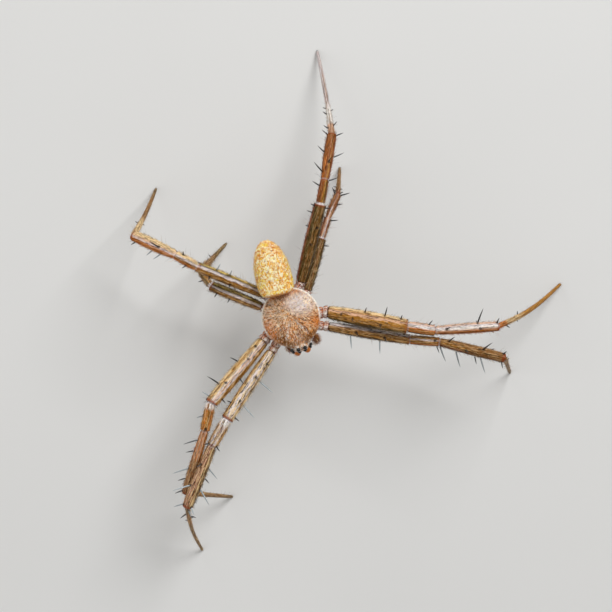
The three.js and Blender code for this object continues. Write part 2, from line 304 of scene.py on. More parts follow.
class Paint:
    """A material being made."""

    def __init__(self, name):
        self.material = bpy.data.materials.new(name)
        self.material.use_nodes = True
        self.tree = self.material.node_tree
        self.tree.nodes.clear()

    def node(self, kind, settings, sockets, output=0):
        """Adds a node: its settings first, then the values or links of its sockets."""
        made = self.tree.nodes.new(kind)
        for name, value in settings.items():
            if name == "stops":
                self.set_stops(made.color_ramp.elements, value)
            else:
                setattr(made, name, value)
        for name, value in sockets.items():
            socket = made.inputs[name]
            if isinstance(value, Signal):
                self.tree.links.new(value.socket, socket)
            elif socket.type == "RGBA":
                socket.default_value = shade(value)
            else:
                socket.default_value = value
        return Signal(self, made.outputs[output]) if made.outputs else None

    def set_stops(self, elements, stops):
        for element, (position, colour) in zip(reversed(elements), (stops[-1], stops[0])):
            element.position = position
            element.color = shade(colour)
        for position, colour in stops[1:-1]:
            elements.new(position).color = shade(colour)

    def attribute(self, name):
        return self.node("ShaderNodeAttribute", {"attribute_name": name}, {}, "Vector")

    def parts(self, vector):
        """The three numbers of a vector."""
        split = self.node("ShaderNodeSeparateXYZ", {}, {0: vector})
        return [Signal(self, output) for output in split.socket.node.outputs]

    def marks(self, name):
        return self.parts(self.attribute(name))

    def millimetres(self):
        place = self.node("ShaderNodeTexCoord", {}, {}, "Object")
        return self.stretched(place, (1 / MM, 1 / MM, 1 / MM))

    def stretched(self, vector, factors):
        return self.node("ShaderNodeVectorMath", {"operation": "MULTIPLY"}, {0: vector, 1: factors})

    def noise(self, vector, scale, detail=3.0, roughness=0.55, distortion=0.0):
        sockets = {"Vector": vector, "Scale": scale, "Detail": detail}
        sockets.update({"Roughness": roughness, "Distortion": distortion})
        return self.node("ShaderNodeTexNoise", {}, sockets)

    def noises(self, vector, *rows):
        """One noise a row: how much it is stretched each way, then its scale, detail and so on."""
        return [self.noise(self.stretched(vector, factors), *shape) for factors, *shape in rows]

    def net(self, vector, scale):
        """Distance to the edge of the nearest cell."""
        sockets = {"Vector": vector, "Scale": scale}
        return self.node("ShaderNodeTexVoronoi", {"feature": "DISTANCE_TO_EDGE"}, sockets, "Distance")

    def step(self, value, start, end):
        """0 before start, 1 after end, smooth between. With end below start it falls."""
        sockets = {"Value": value, "From Min": start, "From Max": end}
        return self.node("ShaderNodeMapRange", {"interpolation_type": "SMOOTHSTEP"}, sockets)

    def band(self, value, start, end, soft):
        return self.step(value, start - soft, start) * self.step(value, end + soft, end)

    def mix(self, share, first, second):
        settings = {"data_type": "RGBA", "clamp_factor": True}
        return self.node("ShaderNodeMix", settings, {0: share, 6: first, 7: second}, 2)

    def layers(self, ground, *rows):
        """Lays one colour a row over a ground.

        A row is a share and a colour; or a signal, the ends of its step, a strength if it has one, and a
        colour."""
        for share, *step, colour in rows:
            if step:
                share = self.step(share, *step[:2])
            for strength in step[2:]:
                share = share * strength
            ground = self.mix(share, ground, colour)
        return ground

    def ramp(self, value, stops):
        return self.node("ShaderNodeValToRGB", {"stops": stops}, {0: value})

    def relief(self, *rows):
        """Bumps over one another. A row is a height from 0 to 1, its millimetres, and its strength."""
        normal = {}
        for height, distance, strength in rows:
            sockets = {"Height": height, "Distance": distance * MM, "Strength": strength, **normal}
            normal = {"Normal": self.node("ShaderNodeBump", {}, sockets)}
        return normal["Normal"]

    def finish(self, colour, roughness, normal=None, **constants):
        sockets = {"Base Color": colour, "Roughness": roughness}
        if normal:
            sockets["Normal"] = normal
        sockets.update({name.replace("_", " "): value for name, value in constants.items()})
        surface = self.node("ShaderNodeBsdfPrincipled", {}, sockets)
        self.node("ShaderNodeOutputMaterial", {}, {"Surface": surface})
        return self.material


# -------- limbs


SLOPE_STEP = 0.04  # how far to either side a limb's direction is taken from
# Distances of a skin's rings after a joint and before the next one
STEPS_AFTER = (0, 0.03, 0.07, 0.12, 0.18, 0.25)
STEPS_BEFORE = (0.19, 0.13, 0.09, 0.06, 0.035, 0.015)


class Part:
    """A limb's part: its length, its radii at root, belly and end, and how far the joints narrow it."""

    def __init__(self, name, length, radii, ease, cuff):
        self.name = name
        self.length = length
        self.radii = radii
        self.ease = ease
        self.cuff = cuff

    def radius(self, share):
        root, belly, end = self.radii
        rise = root * (1 - share) * (1 - 2 * share) + end * share * (2 * share - 1)
        return rise + 4 * belly * share * (1 - share)


class Limb:
    """A jointed limb. Distances run along it in millimetres, and turns run round it from its upper side.

    bends holds the first and last joint of a bowed stretch and how far it bows."""

    def __init__(self, parts, joints, sign, corner=0.16, bends=(), reference=Vector((0, 0, 1))):
        self.parts = parts
        self.joints = joints
        self.sign = sign
        self.corner = corner
        self.bends = bends
        self.reference = reference
        self.starts = [0.0]
        for part in parts:
            self.starts.append(self.starts[-1] + part.length)
        self.length = self.starts[-1]
        inner = [0.88 * min(before.radii[2], after.radii[0]) for before, after in zip(parts, parts[1:])]
        self.necks = [parts[0].radii[0] * 0.8, *inner, parts[-1].radii[2]]

    def locate(self, distance):
        for index in range(len(self.parts) - 1, -1, -1):
            if distance >= self.starts[index] - 1e-9:
                return index, min(distance - self.starts[index], self.parts[index].length)
        return 0, 0.0

    def at(self, name, share):
        """The distance along the limb of a share of a named part."""
        index = [part.name for part in self.parts].index(name)
        return self.starts[index] + share * self.parts[index].length

    def share(self, distance):
        """Whole numbers at the joints, and shares of each part between."""
        index, offset = self.locate(distance)
        return index + offset / self.parts[index].length

    def centre(self, distance):
        index, offset = self.locate(distance)
        place = self.joints[index].lerp(self.joints[index + 1], offset / self.parts[index].length)
        for joint in (index, index + 1):
            away = distance - self.starts[joint]
            reach = self.corner
            if 0 < joint < len(self.parts) and abs(away) < reach:
                knot = self.joints[joint]
                before = knot.lerp(self.joints[joint - 1], reach / self.parts[joint - 1].length)
                after = knot.lerp(self.joints[joint + 1], reach / self.parts[joint].length)
                share = (away + reach) / (2 * reach)
                place = before.lerp(knot, share).lerp(knot.lerp(after, share), share)
        for first, last, sag in self.bends:
            if self.starts[first] < distance < self.starts[last]:
                along = (distance - self.starts[first]) / (self.starts[last] - self.starts[first])
                place = place + sag * math.sin(math.pi * along)
        return place

    def frame(self, distance):
        """Centre, direction along, direction up and direction forward."""
        behind = self.centre(max(distance - SLOPE_STEP, 0))
        ahead = self.centre(min(distance + SLOPE_STEP, self.length))
        along = (ahead - behind).normalized()
        up = (self.reference - along * along.dot(self.reference)).normalized()
        return self.centre(distance), along, up, along.cross(up) * self.sign

    def radius(self, distance):
        index, offset = self.locate(distance)
        part = self.parts[index]
        rest = part.length - offset
        root = 1 if index == 0 else smooth(offset / part.ease)
        cuff = 1
        flare = 0
        if index < len(self.parts) - 1:
            cuff = smooth(rest / part.cuff)
            flare = 0.04 * part.radii[2] * bump(rest - 0.09, 0.06)
        body = part.radius(offset / part.length) + flare
        return body * root * cuff + self.necks[index] * (1 - root) + self.necks[index + 1] * (1 - cuff)

    def point(self, distance, turn):
        centre, _, up, forward = self.frame(distance)
        return centre + spoke(turn, up, forward) * self.radius(distance)

    def stops(self, spacing):
        """Distances at which the skin has a ring, close together at the joints."""
        found = []
        for start, part in zip(self.starts, self.parts):
            near = [step for step in STEPS_AFTER if step < part.length * 0.4]
            far = [step for step in STEPS_BEFORE if step < part.length * 0.4]
            inner = part.length - near[-1] - far[0]
            count = max(1, round(inner / spacing))
            found += [start + step for step in near]
            found += [start + near[-1] + inner * i / count for i in range(1, count)]
            found += [start + part.length - step for step in far]
        return found + [self.length]

    def skin(self, sides, spacing, marks):
        stops = self.stops(spacing)
        last = len(stops) - 1
        frames = [self.frame(stop) for stop in stops]
        radii = [self.radius(stop) for stop in stops]

        def place(share, turn):
            centre, _, up, forward = frames[round(share * last)]
            if share in (0, 1):
                return centre
            return centre + spoke(turn, up, forward) * radii[round(share * last)]

        def marked(mark):
            return lambda share, turn: mark(stops[round(share * last)], turn)

        return wrapped(sides, last, place, {name: marked(mark) for name, mark in marks.items()})

    def root(self, distance, turn, length, radius, rise, curl, marks, lift=0.0):
        """A hair's root at a place on the limb, its lie towards the limb's tip."""
        centre, along, up, forward = self.frame(distance)
        normal = spoke(turn, up, forward)
        place = centre + normal * (self.radius(distance) + lift)
        unwrap = (turn / math.tau % 1, distance / self.length)
        found = {name: tuple(mark(distance, turn)) for name, mark in marks.items()}
        return Root(place, normal, along, length, radius, rise, curl, unwrap, found)


SOLID_PARTS = ("coxa", "femur", "patella", "tibia", "metatarsus_tarsus")
LEG_PARTS = ("coxa", "trochanter", "femur", "patella", "tibia", "metatarsus", "tarsus")
TROCHANTER_PLACE = 0.77  # share of the hip piece at which the trochanter starts
TARSUS_PLACE = 0.7  # share of the foot at which the tarsus starts
# Radii at root, belly and end, as shares of the frame's own widest radius there
LEG_SHAPES = {
    "coxa": (0.9, 1.0, 0.93),
    "trochanter": (0.95, 1.0, 0.9),
    "femur": (0.8, 1.0, 0.9),
    "patella": (0.92, 1.0, 0.9),
    "tibia": (0.76, 1.0, 0.9),
}
# Radii of each pair's metatarsus and tarsus in millimetres, thinner than their solids
FOOT_SHAPES = {
    1: ((0.17, 0.13, 0.115), (0.11, 0.1, 0.08)),
    2: ((0.19, 0.17, 0.135), (0.13, 0.12, 0.095)),
    3: ((0.16, 0.14, 0.12), (0.115, 0.105, 0.08)),
    4: ((0.23, 0.16, 0.13), (0.125, 0.11, 0.08)),
}
LEGS = [(pair, side) for pair in (1, 2, 3, 4) for side in SIDES]


def leg_limb(pair, side):
    """The limb that lies inside a leg's solids by the coat's depth."""
    depth = sizes().coat_depth
    near = box("sternum", LEVEL)[0]
    rods = []
    for part in SOLID_PARTS:
        rods.append(rod_rings(f"leg{pair}_{side}_{part}", near))
        near = rods[-1][-1][0]
    joints = [rods[0][0][0]] + [(before[-1][0] + after[0][0]) / 2 for before, after in zip(rods, rods[1:])]
    widest = {part: max(radius for _, radius in rod[:-1]) for part, rod in zip(SOLID_PARTS, rods)}
    widest["trochanter"] = widest["coxa"]
    radii = {
        part: [widest[part] * share - depth for share in shares] for part, shares in LEG_SHAPES.items()
    }
    radii["metatarsus"], radii["tarsus"] = FOOT_SHAPES[pair]
    ground = near + Vector((0, 0, radii["tarsus"][2]))
    ankle = joints[-1]
    tarsus = ankle.lerp(ground, TARSUS_PLACE)
    trochanter = joints[0].lerp(joints[1], TROCHANTER_PLACE)
    joints = [joints[0], trochanter, *joints[1:], tarsus, ground]
    parts = []
    for name, start, end in zip(LEG_PARTS, joints, joints[1:]):
        parts.append(Part(name, (end - start).length, radii[name], 0.09, 0.035))
    halfway = (ankle + ground) / 2
    middle = min((centre for centre, _ in rods[-1]), key=lambda centre: (centre - halfway).length)
    foot_way = (ground - ankle).normalized()
    sag = middle - ankle - foot_way * (middle - ankle).dot(foot_way) + Vector((0, 0, 0.05))
    foot = LEG_PARTS.index("metatarsus")
    return Limb(parts, joints, SIDES[side], bends=[(foot, foot + 2, sag)])


# Bristles of each leg by part: share along it, turn round it from the upper side towards the front, length
# as a share of the longest, and how strong the painted grey-blue reflection is on it where it is not black
BRISTLES = {
    (1, "left"): {
        "femur": (
            (0.28, 80, 0.8, 0.8), (0.64, 82, 0.8, 0.8), (0.34, 8, 0.7), (0.69, 14, 0.7), (0.92, -62, 0.3),
        ),
        "patella": ((0.92, 72, 0.45), (0.86, -20, 0.35)),
        "tibia": (
            (0.14, -48, 0.62), (0.67, -46, 0.95), (0.02, 74, 1.0, 0.3), (0.27, 80, 1.0, 0.3),
            (0.56, 84, 0.5), (0.65, 70, 1.0, 0.4), (0.42, 10, 0.5), (0.97, 70, 0.4), (0.97, -60, 0.3),
        ),
    },
    (1, "right"): {
        "femur": (
            (0.39, 74, 1.05, 0.9), (0.75, 76, 0.95, 0.9), (0.38, 4, 0.7), (0.73, 0, 0.7), (0.17, 20, 0.4),
            (0.8, -78, 0.3), (0.93, 66, 0.35),
        ),
        "patella": ((0.97, -50, 0.4), (0.95, 50, 0.4)),
        "tibia": (
            (0.33, 66, 0.85, 0.6), (0.67, 60, 1.1, 0.7), (0.66, -60, 1.2, 0.9), (0.97, -70, 0.6, 0.7),
            (0.3, -40, 0.4), (0.97, 40, 0.5, 0.9), (0.5, 84, 0.4),
        ),
        "metatarsus": ((0.06, 20, 0.5, 0.9), (0.2, -80, 0.55), (0.3, 84, 0.4)),
    },
    (2, "left"): {
        "femur": (
            (0.46, -64, 0.36), (0.71, -62, 0.7), (0.91, -66, 0.3), (0.33, 8, 0.6), (0.68, 14, 0.6),
            (0.18, -10, 0.3),
        ),
        "patella": ((0.75, -76, 0.35),),
        "tibia": ((0.16, -20, 0.45), (0.66, -66, 1.05), (0.97, -62, 0.35), (0.68, 4, 0.25)),
        "metatarsus": ((0.16, 84, 0.3),),
    },
    (2, "right"): {
        "femur": (
            (0.4, -78, 0.55), (0.76, -74, 0.9), (0.95, -80, 0.5, 0.8), (0.3, -8, 0.6), (0.7, -22, 0.6),
            (0.12, -30, 0.3), (0.55, 66, 0.35), (0.88, 60, 0.35),
        ),
        "patella": ((0.5, -80, 0.4, 0.5), (0.93, 0, 0.3)),
        "tibia": (
            (0.16, -80, 0.9, 0.2), (0.34, -84, 0.5), (0.62, -78, 1.0, 0.8), (0.78, -80, 0.5),
            (0.74, 40, 0.4), (0.97, -74, 0.5),
        ),
    },
    (3, "left"): {
        "femur": ((0.88, 76, 0.32), (0.6, -60, 0.3)),
        "patella": ((0.96, -72, 0.5), (0.9, 70, 0.5)),
        "tibia": ((0.97, 60, 0.6), (0.95, -60, 0.45), (0.6, 70, 0.35)),
        "metatarsus": ((0.08, 84, 0.25), (0.12, -80, 0.3)),
    },
    (3, "right"): {
        "femur": ((0.6, 60, 0.3), (0.85, 66, 0.3)),
        "patella": ((0.5, 84, 0.3),),
    },
    (4, "left"): {
        "femur": (
            (0.88, -74, 0.38), (0.7, -80, 0.2), (0.97, -66, 0.3), (0.97, 66, 0.4), (0.5, 0, 0.3),
            (0.72, 20, 0.3),
        ),
        "patella": ((0.72, -76, 0.52), (0.97, 66, 0.6)),
        "tibia": (
            (0.15, -66, 0.76), (0.57, -70, 0.56), (0.5, 78, 0.7, 0.2), (0.97, -72, 0.42), (0.97, 74, 0.45),
            (0.35, 10, 0.4),
        ),
        "metatarsus": ((0.1, -80, 0.35), (0.14, 84, 0.35), (0.34, -80, 0.3)),
    },
    (4, "right"): {
        "femur": ((0.74, -66, 0.5, 0.9), (0.54, -72, 0.35, 0.7), (0.5, 40, 0.25), (0.8, 50, 0.3)),
        "patella": ((0.4, 60, 0.3), (0.7, -60, 0.25)),
        "tibia": ((0.36, -10, 0.8), (0.3, 80, 0.55, 0.7), (0.5, 82, 0.45, 0.6), (0.9, 70, 0.3)),
        "metatarsus": ((0.12, -80, 0.25),),
    },
}
LOWER_BRISTLES = {
    "femur": ((0.5, 172, 0.4),),
    "tibia": ((0.3, 160, 0.6), (0.72, -158, 0.6)),
    "metatarsus": ((0.14, 176, 0.45), (0.4, 130, 0.35), (0.45, -130, 0.35)),
}
# Degrees between a bristle and the leg's way, by part and by leg where it differs
BRISTLE_RISE = {"femur": 80, "patella": 68, "tibia": 64, "metatarsus": 50, (2, "left", "tibia"): 82}


def leg_bristles(pair, side, limb):
    """Distance, turn, length share, strength of the painted reflection and rise of each of a leg's bristles.
    """
    found = []
    for table in (BRISTLES[pair, side], LOWER_BRISTLES):
        for part, entries in table.items():
            rise = BRISTLE_RISE.get((pair, side, part), BRISTLE_RISE[part])
            for share, turn, length, *pale in entries:
                found.append((limb.at(part, share), math.radians(turn), length, sum(pale), rise))
    return found


def leg_marks(limb, bristles=()):
    """Marks of a leg's skin: its grain, and its share along with the soft dark spots round the bristles."""
    seats = [(distance, limb.point(distance, turn)) for distance, turn, *_ in bristles]

    def grain(distance, turn):
        return ray(turn, 1, distance)

    def spots(distance, turn):
        here = limb.point(distance, turn)
        close = [bump((here - seat).length, 0.12) for place, seat in seats if abs(place - distance) < 0.4]
        return Vector((limb.share(distance) / len(limb.parts), max(close, default=0), 0))

    return {"leg_grain": grain, "leg_spots": spots}


# -------- settings


def tone(code):
    """Linear colour of a hexadecimal one."""
    shares = [int(code[i : i + 2], 16) / 255 for i in (0, 2, 4)]
    return [share / 12.92 if share <= 0.04045 else ((share + 0.055) / 1.055) ** 2.4 for share in shares]


def size(name, description, default):
    return FloatProperty(name=name, description=description, default=default, min=0, precision=4)


def count(name, description, default):
    return IntProperty(name=name, description=description, default=default, min=1)


def colour(name, description, code):
    return FloatVectorProperty(
        name=name, description=description, default=tone(code), min=0, max=1, size=3, subtype="COLOR"
    )


class SpiderSizes(bpy.types.PropertyGroup):
    """Sizes in millimetres, and counts"""

    coat_depth: size("Coat depth", "How far the skins lie inside the frame's solids", 0.03)
    fovea_depth: size("Fovea depth", "Depth of the dimple in the middle of the carapace", 0.13)
    groove_depth: size("Groove depth", "Depth of the grooves that leave the fovea", 0.075)
    eye_collar: size("Eye collar", "Height of the rim of skin round each eye", 0.05)
    fold_depth: size("Fold depth", "Depth of the folds across the abdomen", 0.022)
    pit_depth: size("Pit depth", "Depth of the paired pits on the abdomen", 0.035)
    bristle_length: size("Bristle length", "Length of a long bristle of the first legs", 1.15)
    bristle_radius: size("Bristle radius", "Radius of a bristle near its root", 0.074)
    hair_length: size("Hair length", "Length of a short hair", 0.3)
    hair_radius: size("Hair radius", "Radius of a short hair at its root", 0.0105)
    leg_hairs: count("Leg hairs", "Short hairs on each leg", 2600)
    shell_hairs: count("Carapace hairs", "Hairs on the upper side of the carapace", 2600)
    belly_hairs: count("Abdomen hairs", "Hairs on the abdomen", 700)
    palp_hairs: count("Palp hairs", "Hairs on each palp", 420)


class SpiderColours(bpy.types.PropertyGroup):
    """Colours of the skins, eyes, bristles and hairs"""

    shell: colour("Carapace", "Orange-brown ground of the carapace", "e09848")
    shell_deep: colour("Carapace corners", "Deeper orange at the front corners and flanks", "e0801f")
    shell_streak: colour("Carapace streaks", "Dark streaks that leave the fovea", "562a0a")
    shell_pale: colour("Carapace pale", "Cream of the short hairs", "fae4c4")
    # Painted highlight on the carapace's left rear, the side the key light falls on
    bloom: colour("Carapace bloom", "Greyish white bloom on the left rear of the carapace", "e2dadb")
    rim: colour("Carapace rim", "Thin pale line round the carapace", "fff8ee")
    abdomen: colour("Abdomen", "Yellow-orange ground of the abdomen", "ffbe34")
    abdomen_yellow: colour("Abdomen yellow", "Bright yellow patches", "ffe34f")
    abdomen_silver: colour("Abdomen silver", "Silvery-white flecks", "fff6d0")
    abdomen_rear: colour("Abdomen rear", "Orange-pink of the rear tip", "ffc67e")
    abdomen_dark: colour("Abdomen belly", "Dark band under the abdomen", "55371c")
    olive: colour("Olive", "Dark olive-brown of the thighs", "523f0d")
    straw: colour("Straw", "Pale olive-yellow edges of the rear thighs", "c4aa50")
    golden: colour("Golden", "Golden brown of the second legs", "b4781f")
    tan: colour("Tan", "Tan of the first legs", "b07c42")
    brown: colour("Brown", "Brown of the thighs", "85541f")
    rust: colour("Rust", "Rusty brown of the left rear knee and shin", "8f4606")
    red_brown: colour("Red-brown", "Red-brown of joints and shin edges", "8a3410")
    orange: colour("Orange", "Orange of jaws, shins and feet", "cf711c")
    cream: colour("Cream", "Cream streaks", "f0d09c")
    # Partly a pale stripe of hair and partly a painted highlight along the legs; also the pale rings at the
    # knees
    silver: colour("Silver", "Silvery lavender stripe along the legs", "e6dee2")
    pink: colour("Pink", "Pinkish tan of shins and joints", "e6b89c")
    white: colour("White", "White of the trochanters and knees", "fbf5f0")
    dark: colour("Dark", "Dark rings, spots and streaks", "2a1606")
    bristle: colour("Bristle", "Black of the bristles and claws", "0e0c0d")
    eye: colour("Eye", "Black of the eyes", "060505")


def sizes():
    return bpy.context.scene.spider_sizes


# Colours across each leg's thigh, knee and shin, from the rear edge over the top to the front edge, and
# along its foot; the tint of the shin's far half, if it has one; the share of the knee that starts white;
# and the strengths of the dark and the pale streaks. The silvery bands across the thighs, knees and shins
# are partly a pale stripe and partly a painted highlight.
LEG_TINTS = {
    (1, "left"): (
        "silver silver brown tan brown golden brown dark", "brown golden silver golden brown orange rust",
        "brown tan brown golden brown red_brown dark", "brown tan brown olive", "brown", 0.0, 0.9, 0.4,
    ),
    (1, "right"): (
        "golden cream silver silver cream silver brown cream white", "tan silver brown silver golden tan",
        "rust pink red_brown pink rust cream brown dark", "dark orange brown olive", "", 0.3, 0.95, 0.8,
    ),
    (2, "left"): (
        "cream tan pink golden golden tan golden olive olive", "pink silver white orange tan orange olive",
        "pink silver white white pink orange rust orange", "orange cream golden golden", "", 0.0, 0.7, 0.25,
    ),
    (2, "right"): (
        "cream golden cream silver pink silver tan golden golden",
        "golden orange golden brown orange golden",
        "orange pink orange pink orange golden", "brown golden brown olive", "brown", 0.28, 0.7, 0.5,
    ),
    (3, "left"): (
        "olive brown olive brown brown olive dark", "red_brown red_brown pink silver red_brown rust",
        "red_brown rust red_brown silver pink red_brown rust red_brown", "red_brown brown brown olive",
        "rust", 0.1, 0.7, 0.35,
    ),
    (3, "right"): (
        "olive straw olive silver silver brown golden tan brown", "brown golden olive brown",
        "brown golden brown", "brown brown olive olive", "brown", 0.1, 0.7, 0.5,
    ),
    (4, "left"): (
        "red_brown olive olive brown olive brown olive dark", "red_brown rust rust golden olive rust",
        "rust orange rust rust golden rust red_brown", "pink white silver silver", "rust", 0.07, 0.7, 0.2,
    ),
    (4, "right"): (
        "straw olive silver silver brown golden golden tan brown", "cream cream silver brown orange orange",
        "cream cream pink silver orange orange orange", "cream cream brown olive", "", 0.0, 0.7, 0.4,
    ),
}


def stripes(paint, across, names):
    """Colours side by side, from a value near 0 to one near 1."""
    names = names.split()
    return paint.ramp(across, [(0.05 + 0.9 * i / (len(names) - 1), name) for i, name in enumerate(names)])


def leg_colours(paint, tints):
    """Colour of a leg's skin or hair, with its streaks. Joints lie at whole numbers of place."""
    thigh, knee, shin, foot, shin_end, white, dark, pale = tints
    grain = paint.attribute("leg_grain")
    up, forward, _ = paint.parts(grain)
    share, spot, _ = paint.marks("leg_spots")
    place = share * len(LEG_PARTS)
    streaks, fine, flecks, blotch = paint.noises(
        grain, ((1, 1, 0.2), 2.8, 4, 0.6, 0.4), ((1, 1, 0.24), 6.2, 3, 0.6, 0.3),
        ((1, 1, 0.6), 6.4, 3, 0.6, 0.5), ((1, 1, 0.8), 2.1, 3, 0.6),
    )
    across = forward * 0.5 + streaks * 0.22 + fine * 0.38 + flecks * 0.2 + 0.1
    skin = paint.layers(
        stripes(paint, across, thigh),
        (place, 2.985, 3.01, stripes(paint, across, knee)),
        (place, 3.985, 4.01, stripes(paint, across, shin)),
    )
    if shin_end:
        skin = paint.layers(skin, (place + streaks * 0.1, 4.45, 4.55, 0.75, shin_end))
    first, second, third, last = foot.split()
    toe = paint.ramp(place * 0.5 - 2.5, [
        (0, first), (0.07, first), (0.09, second), (0.2, second), (0.28, third), (0.55, third), (1, last),
    ])
    hip = paint.ramp(place * 0.5, [
        (0.0, "tan"), (0.25, "white"), (0.45, "white"), (0.5, "red_brown"), (0.55, "white"),
        (0.93, "white"), (0.975, "red_brown"), (1.0, "dark"),
    ])
    knee_start = paint.step(place, 3 + white, 3 + white * 0.5) * paint.step(place, 2.99, 3.0)
    pale_ring = 0.2 + 5 * min(white, 0.1)
    skin = paint.layers(
        skin,
        (place, 4.99, 5.01, paint.layers(toe, (streaks, 0.5, 0.57, 0.7, "brown"))),
        (place, 2.03, 2.0, hip),
        (fine, 0.51, 0.6, dark, "dark"),
        (flecks, 0.53, 0.62, dark * 0.7, "olive"),
        (fine, 0.46, 0.38, pale, "cream"),
        (flecks, 0.44, 0.36, pale, "cream"),
        (blotch, 0.52, 0.74, 0.3, "brown"),
        (knee_start * paint.step(fine, 0.58, 0.48), "white"),
        (paint.band(place, 3.0, 3.03, 0.01) * pale_ring, "silver"),
        (paint.band(place, 3.99, 4.015, 0.01) * 0.2, "silver"),
        *(
            (paint.band(place, joint - 0.006, joint + 0.006, 0.012) * strength, "red_brown")
            for joint, strength in ((2.985, 0.35 + 1.4 * white), (3.97, 0.65), (4.98, 0.7))
        ),
        # Painted shade: the underside of each leg is darker
        (up, -0.1, -0.9, 0.4, "olive"),
        (spot, 0.2, 0.75, 0.92, "dark"),
    )
    side = paint.step(forward * forward, 0.72, 0.9)
    hips = paint.band(place, 0.4, 1.95, 0.08)
    skin = paint.layers(
        skin,
        *((paint.band(place, joint - 0.012, joint + 0.012, 0.02) * side, "dark") for joint in (2, 3, 4, 5)),
        (hips * paint.step(flecks, 0.5, 0.55) * 0.95, "red_brown"),
        (hips * paint.step(streaks, 0.54, 0.6) * 0.8, "orange"),
        (hips * paint.step(flecks, 0.6, 0.64) * 0.9, "dark"),
    )
    return skin, streaks, fine


def leg_skin_material(name, tints):
    paint = Paint(name)
    skin, streaks, fine = leg_colours(paint, tints)
    grit = paint.noise(paint.millimetres(), 26, 2)
    return paint.finish(
        skin, 0.46 - streaks * 0.1 + grit * 0.1,
        paint.relief((streaks, 0.03, 0.6), (fine, 0.016, 0.7), (grit, 0.01, 0.5)),
        Specular_IOR_Level=0.2, Subsurface_Weight=0.04, Subsurface_Scale=0.0003,
    )


def leg_hair_material(name, tints):
    paint = Paint(name)
    tint = paint.marks("hair_tint")[0]
    hair = paint.layers(
        leg_colours(paint, tints)[0],
        (tint, 0.62, 0.75, tints[-1] + 0.25, "cream"),
        (tint, 0.36, 0.24, 0.8, "dark"),
    )
    return paint.finish(hair, 0.46, Specular_IOR_Level=0.25)


def bristle_material():
    paint = Paint("bristle black")
    place = paint.millimetres()
    sheen = paint.noise(place, 2.4, 2)
    coat = paint.layers(
        "bristle",
        (sheen, 0.45, 0.65, 0.25, (0.03, 0.04, 0.05)),
        (paint.noise(place, 14, 2), 0.6, 0.75, 0.3, "dark"),
        # Painted grey-blue reflection on the bristles that the table marks as pale
        (paint.marks("bristle_pale")[0] * (0.6 + sheen * 0.5), (0.46, 0.53, 0.56)),
    )
    return paint.finish(
        coat, 0.2 + sheen * 0.2, Specular_IOR_Level=0.6, Coat_Weight=0.4, Coat_Roughness=0.12
    )


# -------- carapace


EYE_ROWS = ("anterior_median", "posterior_median", "anterior_lateral", "posterior_lateral")
EYES = [f"eye_{row}_{side}" for row in EYE_ROWS for side in SIDES]


